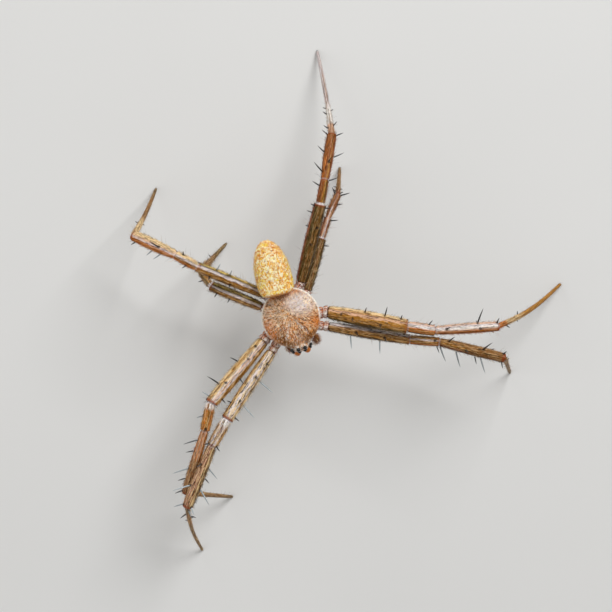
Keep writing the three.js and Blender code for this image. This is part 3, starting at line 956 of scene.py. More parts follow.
class Carapace:
    """The upper shell of the front body, in the trunk's frame, on rings round the fovea."""

    TOP = 0.66  # share of the skin that is upper side
    FOVEA_PLACE = 0.62  # of the carapace's length, from the front
    THORAX_PLACE = 0.548  # of the length, where the thorax is widest
    WAIST_PLACE = 0.566  # of the length, where the rear begins to close
    NECK_PLACE = 0.34  # of the length, where the head's sides begin to close
    HEAD_SHARE = 0.37  # head's half width over the thorax's
    LIP = 0.1  # depth of the rim under its widest line
    FALL = 1.7  # how much closer together the rings lie towards the rim
    DEEPEST = 1.35  # depth of the deepest grooves, those beside the head, over the panel's groove depth

    def __init__(self):
        depth = sizes().coat_depth
        low, high = corners("carapace", TRUNK)
        self.front = low.y + depth
        self.rear = high.y - depth
        self.long = self.rear - self.front
        self.middle = (low.x + high.x) / 2
        self.wide = (high.x - low.x) / 2 - depth
        self.rim = low.z + self.LIP
        self.rise = high.z - self.rim - depth
        self.thorax = self.front + self.THORAX_PLACE * self.long
        self.neck = self.front + self.NECK_PLACE * self.long
        self.waist = self.front + self.WAIST_PLACE * self.long
        self.fovea = Vector((self.middle, self.front + self.FOVEA_PLACE * self.long, 0))
        self.face = self.neck + 0.3 - self.fovea.y
        boxes = [box(node, TRUNK) for node in EYES]
        self.eyes = [(middle, half.x) for middle, half in boxes]
        self.head = Vector((self.middle, self.front + 0.62, self.rim + 0.3))
        self.reaches = {}
        self.strokes = []
        for side in (1, -1):
            start = self.fovea + Vector((side * 0.1, -0.35, 0))
            neck = Vector((self.middle + side * 0.8, self.front + 0.95, 0))
            self.strokes.append((start, neck, self.DEEPEST, 0.12))
            for degrees, length in ((-24, 1.35), (14, 1.3), (50, 1.1)):
                way = ray(math.radians(degrees))
                way.x *= side
                self.strokes.append((self.fovea + way * 0.3, self.fovea + way * length, 0.8, 0.11))

    def half_width(self, y):
        thorax = self.wide * round_end(y - self.thorax, self.wide, 2)
        head = self.HEAD_SHARE * self.wide
        if y < self.neck:
            head *= round_end(y - self.neck, self.front - self.neck, 4)
        closing = round_end(max(y - self.waist, 0), self.rear - self.waist, 2)
        return min((thorax**4 + head**4) ** 0.25, self.wide * closing)

    def reach(self, turn):
        """Distance from the fovea to the rim."""
        if turn not in self.reaches:
            inside, outside = 0.0, self.long
            for _ in range(24):
                middle = (inside + outside) / 2
                across = abs(middle * math.cos(turn))
                y = self.fovea.y + middle * math.sin(turn)
                if self.front < y < self.rear and across < self.half_width(y):
                    inside = middle
                else:
                    outside = middle
            self.reaches[turn] = inside
        return self.reaches[turn]

    def out(self, steep):
        """Share of the reach from the fovea for a share of the upper side."""
        return 1 - (1 - steep) ** self.FALL

    def spot(self, out, turn):
        """Place from the fovea of a share of the reach, seen from above."""
        return ray(turn, self.reach(turn) * out)

    def grooves(self, flat):
        """The depth of each groove, and how near its line a place lies, from 0 to 1."""
        for start, end, deep, width in self.strokes:
            away, along = segment_distance(flat, start, end)
            yield deep, bump(away, width) * smooth((1 - along) * 2.2)

    def dome(self, x, y):
        half = max(self.half_width(y), 1e-6)
        across = min(abs(x - self.middle) / half, 1)
        rear_fall = max(0.0, 1 - (max(y - self.waist, 0) / (self.rear - self.waist)) ** 2.5) ** 0.6
        front_fall = max(0.0, 1 - (min(y - self.waist, 0) / (self.front - self.waist)) ** 8) ** 0.34
        return self.rise * rear_fall * front_fall * (1 - across**2.2) ** 0.56

    def surface(self, share, turn, groove=0, fovea=0, collar=0):
        """A point of the skin for a share from the fovea over the rim to the middle of the underside."""
        reach = self.reach(turn)
        way = ray(turn)
        if share > self.TOP:
            inward = (share - self.TOP) / (1 - self.TOP)
            place = self.fovea + way * reach * (1 - inward) ** 1.5
            place.z = self.rim - self.LIP * math.sin(min(inward * 5, 1) * math.pi / 2) * 0.9
            return place
        out = self.out(share / self.TOP)
        place = self.fovea + way * reach * out
        x, y = place.x - self.middle, place.y - self.fovea.y
        height = self.dome(place.x, place.y)
        low_thorax = 0.1 * smooth((place.y - self.neck) / 0.9) * smooth((1 - out) * 4)
        height *= 1 - low_thorax
        height -= fovea * math.exp(-((x / 0.1) ** 2) - (y / 0.28) ** 2) * smooth((1 - out) * 8)
        for deep, near in self.grooves(place):
            height -= groove * deep * near
        height += 0.035 * bump(out - 0.975, 0.02)
        place.z = self.rim + max(height, 0) * smooth(1 - max(out - 0.97, 0) / 0.03 * 0.5)
        outward = (place - self.head).normalized()
        for eye, radius in self.eyes:
            away = (place - eye).length
            place = place + outward * collar * bump(away - 1.12 * radius, 0.5 * radius)
        return place


# Ends of the pale line of hair along the left of the head, from the fovea; the right has its mirror image
HEAD_LINE = (Vector((0.26, -0.72, 0)), Vector((0.72, -1.6, 0)))


def shell_marks(shell):
    """Marks of the carapace.

    They are the way from the fovea with the share of the reach; the place from the fovea, and whether it
    lies underneath; and how pale it is round the eyes and along the head, how deep in a groove, and how
    high over the rim."""

    def rays(share, turn):
        return ray(turn, 1, shell.out(min(share / shell.TOP, 1)))

    def spot(share, turn):
        place = shell.spot(rays(share, turn).z, turn)
        place.z = 1 if share > shell.TOP + 0.01 else 0
        return place

    def glow(share, turn):
        place = shell.surface(share, turn)
        near = max(bump((place - eye).length - radius * 1.5, radius) for eye, radius in shell.eyes)
        brow = bump(place.y - shell.front - 0.85, 0.28) * bump(place.x - shell.middle, 0.4)
        flat = Vector((place.x, place.y, 0))
        fovea = flat - shell.fovea
        depths = [closeness * deep / shell.DEEPEST for deep, closeness in shell.grooves(flat)]
        depths.append(math.exp(-((fovea.x / 0.09) ** 2) - (fovea.y / 0.26) ** 2))
        flat.x = shell.middle + abs(flat.x - shell.middle)
        away, _ = segment_distance(flat, shell.fovea + HEAD_LINE[0], shell.fovea + HEAD_LINE[1])
        pale = max(near * 0.9, brow * 0.3, bump(away, 0.08) * 0.7)
        return Vector((pale, max(0, *depths), place.z - shell.rim))

    return {"shell_rays": rays, "shell_spot": spot, "shell_glow": glow}


def shell_colours(paint):
    """Colour of the carapace's skin or hair, with its streaks, their fine ones and its mottle."""
    rays = paint.attribute("shell_rays")
    out = paint.parts(rays)[2]
    x, y, under = paint.marks("shell_spot")
    glow, groove, height = paint.marks("shell_glow")
    place = paint.millimetres()
    mottle = paint.noise(place, 5.2, 4, 0.65, 0.6)
    grain = paint.noise(place, 9, 3, 0.65, 0.5)
    clouds = paint.noise(place, 1.15, 3, 0.55, 0.4)
    streaks, fine = paint.noises(rays, ((1, 1, 0.55), 6, 4, 0.65, 0.5), ((1, 1, 0.75), 15, 3, 0.6, 0.4))
    middle = paint.step(out, 0.34, 0.12)
    streaks = streaks + (mottle - streaks) * middle
    fine = fine + (grain - fine) * middle
    # Painted highlight on the left rear, where the key light falls; the streaks are calmed under it
    patch_x = x - 0.95
    patch_y = y - 0.5
    patch = paint.step(patch_x * patch_x * 0.7 + patch_y * patch_y * 1.1 + clouds * 1.3, 2.1, 0.7)
    calm = 1 - patch * 0.85
    low = paint.step(y, 0.0, -1.1)
    pale = paint.mix(low * 0.6, "shell_pale", "cream")
    specks = paint.step(x, 0.5, -0.7) * 0.5 + 0.1
    flank = paint.step(x * x + clouds * 1.6, 1.8, 3.2) * paint.step(y + x * 0.22, 0.1, -0.6)
    # Painted light: paler towards the left rear, the side the key light falls on
    lit_side = paint.step(x + y * 0.6 + clouds * 2, 0.2, 2.2)
    whites = paint.step(grain, 0.48, 0.4) * paint.step(x + y * 0.3, 0.5, -0.8)
    shift = paint.step(y, -0.9, -0.1) * 0.015
    head = paint.step(y, -1.2, -1.9) * paint.step(mottle, 0.4, 0.54)
    # Painted shadow on the carapace's rear slope, under the abdomen's overhang
    behind = paint.step(y, 0.98, 1.3) * paint.step(out, 0.97, 0.9)
    face = paint.step(y, -1.9, -2.35)
    edge = paint.step(out, 0.935, 0.955) * paint.step(height + mottle * 0.2, 0.5, 0.4)
    skin = paint.layers(
        "shell",
        (clouds, 0.55, 0.4, 0.6, "shell_deep"),
        (paint.step(mottle, 0.46, 0.56) * 0.6 + lit_side * 0.25, "shell_pale"),
        (low * 0.35, "shell_deep"),
        (flank * 0.85, "shell_deep"),
        # Painted highlight
        (patch * 0.9, "bloom"),
        (patch * paint.step(mottle + clouds * 0.5, 0.74, 0.84) * 0.4, "tan"),
        (whites * (0.8 - flank * 0.4), "rim"),
        (paint.step(streaks - shift, 0.51, 0.61) * (0.65 - flank * 0.35) * calm, "shell_streak"),
        (paint.step(fine - shift, 0.53, 0.6) * (0.9 - flank * 0.4) * calm, "shell_streak"),
        (paint.step(fine - shift, 0.46, 0.4) * (0.95 - flank * 0.5), pale),
        (paint.step(grain, 0.57, 0.63) * specks * calm, "dark"),
        (y, -2.35, -2.62, 0.85, "orange"),
        # Darker along the grooves and in the fovea: dark streaks there, with painted shade in the hollows
        (groove * (streaks * 0.7 - 0.1) * calm, "shell_streak"),
        (head * 0.85, "brown"),
        (glow * paint.step(grain, 0.58, 0.45) * 0.85, "rim"),
        # Painted shadow under the abdomen's overhang
        (behind * 0.75, "shell_deep"),
        (edge * (paint.step(y, -1.3, -0.7) * 0.8 + 0.15), "rim"),
        (paint.step(height, 0.05, 0.0) * (0.3 + face * 0.3), "shell_deep"),
        (under, "shell_streak"),
    )
    return skin, streaks, fine, mottle


def carapace_material():
    paint = Paint("carapace shell")
    skin, streaks, fine, mottle = shell_colours(paint)
    grit = paint.noise(paint.millimetres(), 24, 2)
    return paint.finish(
        skin, 0.5 + grit * 0.12 - mottle * 0.06,
        paint.relief((mottle, 0.03, 0.5), (streaks, 0.035, 0.7), (fine, 0.02, 0.8), (grit, 0.012, 0.6)),
        Specular_IOR_Level=0.18, Subsurface_Weight=0.06, Subsurface_Scale=0.0003,
    )


def shell_hair_material():
    paint = Paint("carapace hair")
    tint = paint.marks("hair_tint")[0]
    y = paint.marks("shell_spot")[1]
    glow = paint.marks("shell_glow")[0]
    low = paint.step(y, 0.0, -1.1)
    head = paint.step(y, -1.0, -1.7)
    inner = paint.step(paint.marks("shell_rays")[2], 0.95, 0.92)
    ground = paint.layers(paint.mix(low, "shell", "shell_deep"), (head * 0.8, "brown"))
    pale = paint.mix(low * 0.7, "shell_pale", "cream")
    hair = paint.layers(
        shell_colours(paint)[0],
        (inner * (0.35 + low * 0.2), ground),
        (paint.step(tint - low * 0.1 - head * 0.12, 0.56, 0.64) * inner, pale),
        (tint + glow * 0.5, 0.82, 0.9, 0.9, "rim"),
        (paint.step(tint, 0.15, 0.1) * inner * 0.85, "shell_streak"),
    )
    return paint.finish(hair, 0.46, Specular_IOR_Level=0.18)


def eye_material():
    paint = Paint("eye black")
    glaze = paint.noise(paint.millimetres(), 9, 2)
    lens = paint.layers("eye", (glaze, 0.35, 0.7, 0.5, (0.012, 0.008, 0.006)))
    return paint.finish(lens, 0.04 + glaze * 0.04, Specular_IOR_Level=0.35, Coat_Weight=0.3)


# -------- abdomen


# Paired pits on the abdomen: their place from front to rear, and from the middle outwards in millimetres
PITS = ((-0.5, 0.36), (-0.12, 0.36), (0.28, 0.33), (0.58, 0.29))


class Abdomen:
    """The hind body, in its own turned frame, on rings from the waist to the rear tip."""

    WIDEST = -0.3  # place of the widest ring, from -1 in front to 1 behind
    BELLY_SHARE = 0.496  # half height over the solid's whole height, which counts the raised front
    FRONT_LIFT = 0.5  # how far the front end is raised

    def __init__(self):
        depth = sizes().coat_depth
        low, high = corners("abdomen", REAR)
        self.middle = (low + high) / 2
        self.half_long = (high.y - low.y) / 2 - depth
        self.half_wide = (high.x - low.x) / 2 - depth
        self.half_high = (high.z - low.z) * self.BELLY_SHARE - depth
        self.middle.z = low.z + self.half_high + depth

    def plain(self, along, turn):
        if along < self.WIDEST:
            girth = round_end(along - self.WIDEST, -1 - self.WIDEST, 4)
        else:
            girth = round_end(along - self.WIDEST, 1 - self.WIDEST, 2)
        rounding = round_end(along, 1, 2)
        across, upward = math.cos(turn), math.sin(turn)
        high = 0.5 * girth + 0.5 * rounding if upward > 0 else rounding
        x = self.half_wide * girth * across
        z = self.half_high * high * upward + self.FRONT_LIFT * max(0, -along) ** 3
        return self.middle + Vector((x, self.half_long * along, z))

    def surface(self, share, turn, fold=0, pit=0):
        along = -math.cos(math.pi * share)
        place = self.plain(along, turn)
        inward = (self.middle + Vector((0, self.half_long * along * 0.8, 0)) - place).normalized()
        upward = math.sin(turn)
        sides = 1 - 0.55 * max(upward, 0)
        rear = smooth((along - 0.25) / 0.5)
        wave = math.sin(along * 34 + 0.7 * math.sin(turn * 3)) * rear
        wave += 0.55 * math.sin(along * 19 + 1.3 * math.sin(turn * 2 + 1)) * (1 - rear) * sides
        depth = fold * (0.5 + 0.5 * wave) * smooth((1 - abs(along)) * 6)
        if upward > 0:
            x, y = place.x - self.middle.x, along
            for row, _ in PITS:
                width = 0.36 * (1 - 0.35 * max(row, 0))
                away = math.hypot(abs(x) - width, (y - row) * self.half_long)
                depth += pit * bump(away, 0.085)
            depth += 0.45 * pit * bump(x, 0.07) * smooth((0.75 - abs(y)) * 4)
        return place + inward * depth


def abdomen_marks(rear):
    """Marks of the abdomen: the place from its middle, and the turn round it with the share along."""

    def spot(share, turn):
        return rear.plain(-math.cos(math.pi * share), turn) - rear.middle

    def rays(share, turn):
        return ray(turn, 1, -math.cos(math.pi * share))

    return {"rear_spot": spot, "rear_rays": rays}


def abdomen_colours(paint):
    """Colour of the abdomen's skin or hair, with its net, scales and flecks."""
    spot = paint.attribute("rear_spot")
    x, y, _ = paint.parts(spot)
    _, upward, along = paint.marks("rear_rays")
    warp = paint.noise(spot, 3.0, 2)
    clouds = paint.noise(spot, 1.9, 3, 0.6, 0.4)
    folded = paint.stretched(spot, (1, 0.72, 1))
    net = paint.net(folded, 3.6) + paint.step(along, -0.75, -0.95) * 0.2
    scales = paint.noise(folded, 9.5, 4, 0.75, 1.0)
    flecks = paint.noise(folded, 6.5, 4, 0.7, 1.4)
    folds = paint.noise(paint.stretched(spot, (0.4, 2.4, 0.6)), 3.0, 3, 0.6, 0.7)
    place = along + warp * 0.2
    rear = paint.step(place, 0.45, 0.8)
    centre = paint.step(x * x + y * y * 0.12, 1.1, 0.1)
    silver = paint.step(flecks + centre * 0.03 + scales * 0.25 - rear * 0.07, 0.65, 0.67)
    arcs = (along * 34 + warp * 14 + x * x * 1.5).sine()
    behind = paint.step(place, 0.3, 0.6)
    broken = behind * paint.step(clouds + flecks * 0.4, 0.6, 0.72)
    belly = paint.step(upward + clouds * 0.2, -0.42, -0.6) * paint.step(along, -0.97, -0.8)
    lines = paint.band(x * x, 0.16, 0.3, 0.05) * paint.band(along, -0.55, 0.5, 0.12)
    under = paint.layers(
        "abdomen_dark", (scales, 0.4, 0.62, 0.5, "dark"), (lines * 0.9, "abdomen_yellow")
    )
    skin = paint.layers(
        "abdomen",
        (clouds, 0.42, 0.58, 0.9, "abdomen_yellow"),
        (rear * 0.7, "abdomen_rear"),
        (paint.step(folds, 0.51, 0.56) * rear * 0.8, "abdomen_yellow"),
        (paint.step(folds, 0.46, 0.41) * (0.45 + rear * 0.35), "orange"),
        (paint.step(net, 0.07, 0.02) * (0.8 - rear * 0.5), "orange"),
        (paint.step(scales, 0.47, 0.42) * (0.9 - rear * 0.6), "orange"),
        (paint.step(scales, 0.39, 0.34) * (0.8 - rear * 0.6), "red_brown"),
        (paint.step(arcs, 0.0, -0.8) * broken * 0.5, "orange"),
        (paint.step(arcs, 0.3, 0.9) * (behind * 0.2 + broken * 0.5), "abdomen_silver"),
        (silver * 0.95, "abdomen_silver"),
        (place, 0.9, 1.15, 0.4, "abdomen_rear"),
        (along, -0.9, -0.985, 0.7, "orange"),
        (upward + warp * 0.3, 0.12, -0.25, 0.5, "abdomen_rear"),
        (belly, under),
    )
    for row, width in PITS:
        off_x = (x * x) ** 0.5 - width
        off_y = (along - row) * 1.9
        pit = paint.step(off_x * off_x + off_y * off_y, 0.006, 0.001) * paint.step(upward, 0.2, 0.4)
        skin = paint.layers(skin, (pit * 0.55, "red_brown"))
    return skin, net, scales, flecks


def abdomen_material():
    paint = Paint("abdomen skin")
    skin, net, scales, flecks = abdomen_colours(paint)
    spot = paint.attribute("rear_spot")
    wrinkles = paint.noise(paint.stretched(spot, (0.5, 3.2, 0.5)), 4.2, 3, 0.6, 0.6)
    grit = paint.noise(spot, 24, 2)
    meshes = paint.step(net, 0.0, 0.09)
    return paint.finish(
        skin, 0.34 + scales * 0.18 - flecks * 0.08,
        paint.relief((wrinkles, 0.05, 0.6), (meshes, 0.035, 0.7), (scales, 0.045, 0.8), (grit, 0.01, 0.5)),
        Specular_IOR_Level=0.28, Subsurface_Weight=0.04, Subsurface_Scale=0.0004,
        Subsurface_Radius=(1.0, 0.6, 0.3),
    )


def rear_hair_material():
    paint = Paint("abdomen hair")
    tint = paint.marks("hair_tint")[0]
    hair = paint.layers(
        abdomen_colours(paint)[0],
        (tint, 0.5, 1.0, 0.6, "abdomen_silver"),
        (tint, 0.3, 0.1, 0.5, "orange"),
    )
    return paint.finish(hair, 0.46, Specular_IOR_Level=0.25)


# -------- smaller finishes


def flesh_material(name, ground, pale, scale, roughness=0.5, band=None):
    """A mottled skin for the smaller parts, with a pale band down the middle where one is asked for."""
    paint = Paint(name)
    place = paint.millimetres()
    mottle = paint.noise(place, scale, 4, 0.6, 0.5)
    fine = paint.noise(place, scale * 4.5, 3, 0.6)
    skin = paint.layers(ground, (mottle, 0.42, 0.66, 0.6, pale), (fine, 0.56, 0.7, 0.5, "dark"))
    if band:
        middle, half, shown = band
        off = paint.parts(place)[0] - middle
        near = off * off + mottle * half * half
        skin = paint.layers(skin, (near, 1.6 * half * half, half * half, 0.85, shown))
    normal = paint.relief((mottle, 0.03, 0.6), (fine, 0.016, 0.8))
    return paint.finish(skin, roughness + fine * 0.12, normal, Specular_IOR_Level=0.3)


def hair_material(name, ground, pale):
    paint = Paint(name)
    tint = paint.marks("hair_tint")[0]
    cloud = paint.noise(paint.millimetres(), 3, 2)
    hair = paint.layers(ground, (tint + cloud * 0.2, 0.35, 0.9, pale))
    return paint.finish(hair, 0.42, Specular_IOR_Level=0.5)


# -------- operators


SKIN_STEP = 0.012  # share of a skin to either side of a hair that its normal is taken from
LIE_SPREAD = 0.28  # how far hairs stray from their lie, in radians
RISE_SPREAD = 4  # how far bristles stray from their rise, in degrees
LONG_HAIRS = 0.05  # share of a leg's hairs that are long and stand up
FLOOR_ROOM = 0.06  # least height of a leg hair's tip over the floor


def surface_root(surface, share, turn, lie, chance, length, radius, rise, curl, unwrap, marks):
    """A hair's root on a skin given by surface(share, turn), with the lie that lie(place) gives."""
    place = surface(share, turn)
    along = surface(share + SKIN_STEP, turn) - surface(share - SKIN_STEP, turn)
    round_it = surface(share, turn + SKIN_STEP * 2) - surface(share, turn - SKIN_STEP * 2)
    normal = along.cross(round_it).normalized()
    way = Matrix.Rotation(chance.gauss(0, LIE_SPREAD), 3, normal) @ lie(place)
    found = {name: tuple(mark(share, turn)) for name, mark in marks.items()}
    found["hair_tint"] = (chance.random(), 0, 0)
    return Root(place, normal, way, length, radius, rise, curl, unwrap, found)


class SPIDER_OT_carapace(bpy.types.Operator):
    """Make the carapace's skin"""

    bl_idname = "spider.carapace"
    bl_label = "Carapace"

    def execute(self, context):
        wanted = sizes()
        shell = Carapace()

        def place(share, turn):
            return shell.surface(share, turn, wanted.groove_depth, wanted.fovea_depth, wanted.eye_collar)

        body = wrapped(96, 72, place, shell_marks(shell))
        finish_skin(body, "carapace_skin", carapace_material(), ["carapace"], TRUNK, 1)
        return {"FINISHED"}


class SPIDER_OT_eyes(bpy.types.Operator):
    """Make the eight eyes"""

    bl_idname = "spider.eyes"
    bl_label = "Eyes"

    def execute(self, context):
        glass = eye_material()
        for node in EYES:
            centre, half = box(node, TRUNK)

            def place(share, turn):
                around = math.pi * share
                return centre + ray(turn, half.x * math.sin(around), half.x * math.cos(around))

            finish_skin(wrapped(28, 18, place), f"{node}_globe", glass, [node], TRUNK)
        return {"FINISHED"}


# Lip and maxillae: side, place towards the rear, width, length and height, as shares of the half size
MOUTH_LOBES = ((0, 0.35, 0.34, 0.6, 0.75), (-1, -0.05, 0.46, 0.92, 1), (1, -0.05, 0.46, 0.92, 1))


class SPIDER_OT_underside(bpy.types.Operator):
    """Make the breastplate, with the soft body wall over it, and the mouthparts"""

    bl_idname = "spider.underside"
    bl_label = "Underside"

    def execute(self, context):
        depth = Vector([sizes().coat_depth] * 3)
        middle, half = box("sternum", TRUNK)
        half = half - depth
        plate = 0.5  # share of the skin that is breastplate
        edge = 0.09  # how far the breastplate's edge lies over its middle

        def shield(share, turn):
            scallop = 1 - 0.035 * (1 + math.cos(8 * turn))
            point_back = 1 - 0.3 * max(math.sin(turn), 0) ** 2
            rise = (share - plate) / (1 - plate)
            if share < plate:
                out = math.sin(share / plate * math.pi / 2)
                drop = -half.z + edge * out**3 + 0.03 * bump(out - 0.9, 0.06)
            else:
                closing = math.cos(rise * math.pi / 2) ** 0.35 if share < 1 else 0
                out = closing * (0.96 + 0.04 * math.cos(rise * 9))
                drop = -half.z + edge + (2 * half.z - edge) * rise
            x = half.x * math.cos(turn) * out * point_back * scallop
            return middle + Vector((x, half.y * math.sin(turn) * out * scallop, drop))

        band = (middle.x, 0.2, "abdomen_yellow")
        material = flesh_material("breastplate", "shell_streak", "tan", 5, 0.42, band)
        finish_skin(wrapped(64, 48, shield), "sternum_skin", material, ["sternum"], TRUNK, 1)

        middle, half = box("mouthparts", TRUNK)
        half = half - depth
        lobes = []
        for side, back, wide, long, tall in MOUTH_LOBES:
            centre = middle + Vector((side * half.x * 0.52, back * half.y, 0))

            def lobe(share, turn):
                flat = math.sin(math.pi * share) ** 0.8
                lean = side * 0.1 * half.x * math.cos(math.pi * share)
                x = half.x * wide * flat * math.cos(turn) + lean
                y = half.y * long * flat * math.sin(turn)
                return centre + Vector((x, y, half.z * tall * math.cos(math.pi * share)))

            lobes.append(wrapped(24, 18, lobe))
        material = flesh_material("mouthparts", "shell_streak", "cream", 6, 0.45)
        finish_skin(joined(lobes), "mouthparts_skin", material, ["mouthparts"], TRUNK)
        return {"FINISHED"}


def jaw_surface(side):
    """A jaw's surface, and the ways along it, forward of it and towards the middle of the body."""
    near = box("carapace", LEVEL)[0] + Vector((0, 0, 5))  # a point over the root of either jaw
    rings = rod_rings(f"chelicera_{side}", near)
    start, end = rings[0][0], rings[-1][0]
    girth = max(radius for _, radius in rings) - sizes().coat_depth
    way = (end - start).normalized()
    inner = Vector((-SIDES[side], 0, 0))
    ahead = inner.cross(way) * SIDES[side]
    ahead = ahead if ahead.y < 0 else -ahead
    length = (end - start).length

    def surface(share, turn):
        along = 0.5 - 0.5 * math.cos(math.pi * share)
        rounding = math.sin(math.pi * share) ** 0.62 if 0 < share < 1 else 0
        flat = girth * rounding * (1 - 0.42 * smooth((along - 0.35) / 0.65))
        belly = 0.06 * bump(along - 0.32, 0.25) * max(math.cos(turn), 0)
        off = ahead * (math.cos(turn) * flat + belly) + inner * math.sin(turn) * flat * 0.93
        return start + way * length * along + off - ahead * 0.1 * along**2

    return surface, way, ahead, inner


class SPIDER_OT_jaws(bpy.types.Operator):
    """Make the two jaws and their fangs"""

    bl_idname = "spider.jaws"
    bl_label = "Jaws"

    def execute(self, context):
        horn = flesh_material("jaw", "orange", "tan", 7, 0.36)
        black = bristle_material()
        for side in SIDES:
            surface, way, ahead, inner = jaw_surface(side)
            body = wrapped(32, 28, surface)
            finish_skin(body, f"chelicera_{side}_skin", horn, [f"chelicera_{side}"])
            tip = surface(0.93, math.pi * 0.5) - inner * 0.06

            def fang(share, turn):
                swing = share * 1.9
                centre = tip + way * 0.13 * math.sin(swing) + inner * 0.16 * (1 - math.cos(swing))
                radius = 0.055 * (1 - share) ** 0.7 if share > 0 else 0
                return centre - ahead * 0.1 * share + spoke(turn, ahead, (inner + way) * 0.7) * radius

            finish_skin(wrapped(12, 14, fang), f"fang_{side}", black)
        return {"FINISHED"}


PALP_PARTS = ("femur", "patella", "tibia", "tarsus")
# Joints of a palp as shares of its solid's box: outwards, from front to rear, and upwards
PALP_JOINTS = (
    (0.27, 0.8, 0.75), (0.56, 0.6, 0.83), (0.73, 0.39, 0.75), (0.64, 0.24, 0.47), (0.43, 0.22, 0.12),
)
PALP_RADII = ((0.15, 0.17, 0.16), (0.15, 0.165, 0.15), (0.14, 0.165, 0.15), (0.14, 0.15, 0.06))


def palp_limb(side):
    low, high = corners(f"palp_{side}", TRUNK)
    joints = []
    for outward, back, upward in PALP_JOINTS:
        shares = Vector((outward if side == "left" else 1 - outward, back, upward))
        joints.append(low + (high - low) * shares)
    parts = []
    for name, start, end, radii in zip(PALP_PARTS, joints, joints[1:], PALP_RADII):
        parts.append(Part(name, (end - start).length, radii, 0.1, 0.04))
    return Limb(parts, joints, SIDES[side], 0.15, reference=Vector((1, 0, 0)))


class SPIDER_OT_palps(bpy.types.Operator):
    """Make the two palps"""

    bl_idname = "spider.palps"
    bl_label = "Palps"

    def execute(self, context):
        material = flesh_material("palp", "brown", "tan", 4.5, 0.5)
        for side in SIDES:
            body = palp_limb(side).skin(20, 0.07, {})
            finish_skin(body, f"palp_{side}_skin", material, [f"palp_{side}"], TRUNK, 1)
        return {"FINISHED"}


# Pairs of spinnerets: place towards the rear, distance from the middle, radius and how far they stick out
SPINNERETS = ((-0.1, 0.105, 0.095, 0.2), (0.1, 0.09, 0.08, 0.19), (0.0, 0.045, 0.05, 0.12))


class SPIDER_OT_abdomen(bpy.types.Operator):
    """Make the abdomen, the spinnerets under it and the waist in front of it"""

    bl_idname = "spider.abdomen"
    bl_label = "Abdomen"

    def execute(self, context):
        wanted = sizes()
        rear = Abdomen()

        def place(share, turn):
            return rear.surface(share, turn, wanted.fold_depth, wanted.pit_depth)

        body = wrapped(96, 96, place, abdomen_marks(rear))
        finish_skin(body, "abdomen_skin", abdomen_material(), ["abdomen"], REAR, 1)

        middle, _ = box("spinnerets", REAR)
        way = Vector((0, math.sin(0.5), -math.cos(0.5)))  # down and a little to the rear
        cones = []
        for back, out, girth, length in SPINNERETS:
            for sign in SIDES.values():
                base = middle + Vector((sign * out, back, 0)) - way * 0.22
                lean = (way + Vector((sign * 0.16, -back * 0.8, 0))).normalized()
                across = lean.cross(Vector((0, 1, 0))).normalized()
                beside = lean.cross(across)

                def cone(share, turn):
                    radius = girth * (1 - 0.35 * share) * (1 - 0.16 * bump(share - 0.72, 0.05))
                    radius *= round_end(max(share - 0.8, 0), 0.2, 2) if 0 < share < 1 else 0
                    return base + lean * (share * (0.2 + length)) + spoke(turn, across, beside) * radius

                cones.append(wrapped(16, 18, cone))
        material = flesh_material("spinnerets", "shell_streak", "orange", 8, 0.45)
        finish_skin(joined(cones), "spinnerets_skin", material, ["spinnerets"], REAR)

        middle, half = box("pedicel", TRUNK)

        def waist(share, turn):
            along = (share - 0.5) * 2
            ring = 1 - 0.12 * math.cos(share * 30)
            flat = half.x * 0.8 * ring * (1 - along**8) ** 0.5 if 0 < share < 1 else 0
            rise = half.z * 0.3 * along
            return middle + Vector((flat * math.cos(turn), half.y * along, flat * math.sin(turn) + rise))

        material = flesh_material("waist", "shell_deep", "cream", 6)
        finish_skin(wrapped(20, 30, waist), "pedicel_skin", material, ["pedicel"], TRUNK)
        return {"FINISHED"}


class SPIDER_OT_legs(bpy.types.Operator):
    """Make one skin over each leg's solids"""

    bl_idname = "spider.legs"
    bl_label = "Legs"

    def execute(self, context):
        for pair, side in LEGS:
            limb = leg_limb(pair, side)
            body = limb.skin(20, 0.11, leg_marks(limb, leg_bristles(pair, side, limb)))
            nodes = [f"leg{pair}_{side}_{part}" for part in SOLID_PARTS]
            material = leg_skin_material(f"leg {pair} {side}", LEG_TINTS[pair, side])
            finish_skin(body, f"leg{pair}_{side}_skin", material, nodes, LEVEL, 1)
        return {"FINISHED"}


class SPIDER_OT_bristles(bpy.types.Operator):
    """Make the legs' long bristles, each in a dark seat, and the claws at their tips"""

    bl_idname = "spider.bristles"
    bl_label = "Bristles and claws"

    def execute(self, context):
        wanted = sizes()
        black = bristle_material()
        form = Strand(8, 10, bristle_taper)
        for pair, side in LEGS:
            limb = leg_limb(pair, side)
            chance = random.Random(SEED + 10 * pair + SIDES[side])
            roots = []
            for distance, turn, share, pale, rise in leg_bristles(pair, side, limb):
                girth = wanted.bristle_radius * (0.72 + 0.28 * share)
                length = wanted.bristle_length * share
                # Strength of the bristle's painted grey-blue reflection
                marks = {"bristle_pale": lambda distance, turn: (pale, 0, 0)}
                rise = chance.uniform(rise - RISE_SPREAD, rise + RISE_SPREAD)
                curl = chance.uniform(0, 0.08)
                root = limb.root(distance, turn, length, girth, rise, curl, marks, -0.015)
                if (root.place + root.way * length).z > girth:
                    roots.append(root)
            grow(f"leg{pair}_{side}_bristles", roots, form, black)

            tip, along, up, forward = limb.frame(limb.length - 0.02)
            drop = tip.z * 0.8
            ahead = Vector((along.x, along.y, 0)).normalized()
            hooks = []
            for sign in (1, -1):

                def hook(share, turn):
                    centre = tip + ahead * 0.11 * math.sin(share * 1.5) - Vector((0, 0, drop * share**2))
                    centre = centre + forward * sign * (0.025 + 0.03 * share)
                    radius = 0.02 * (1 - share) ** 0.6 if share > 0 else 0
                    return centre + spoke(turn, forward, up) * radius

                hooks.append(wrapped(8, 10, hook))
            finish_skin(joined(hooks), f"leg{pair}_{side}_claws", black)
        return {"FINISHED"}


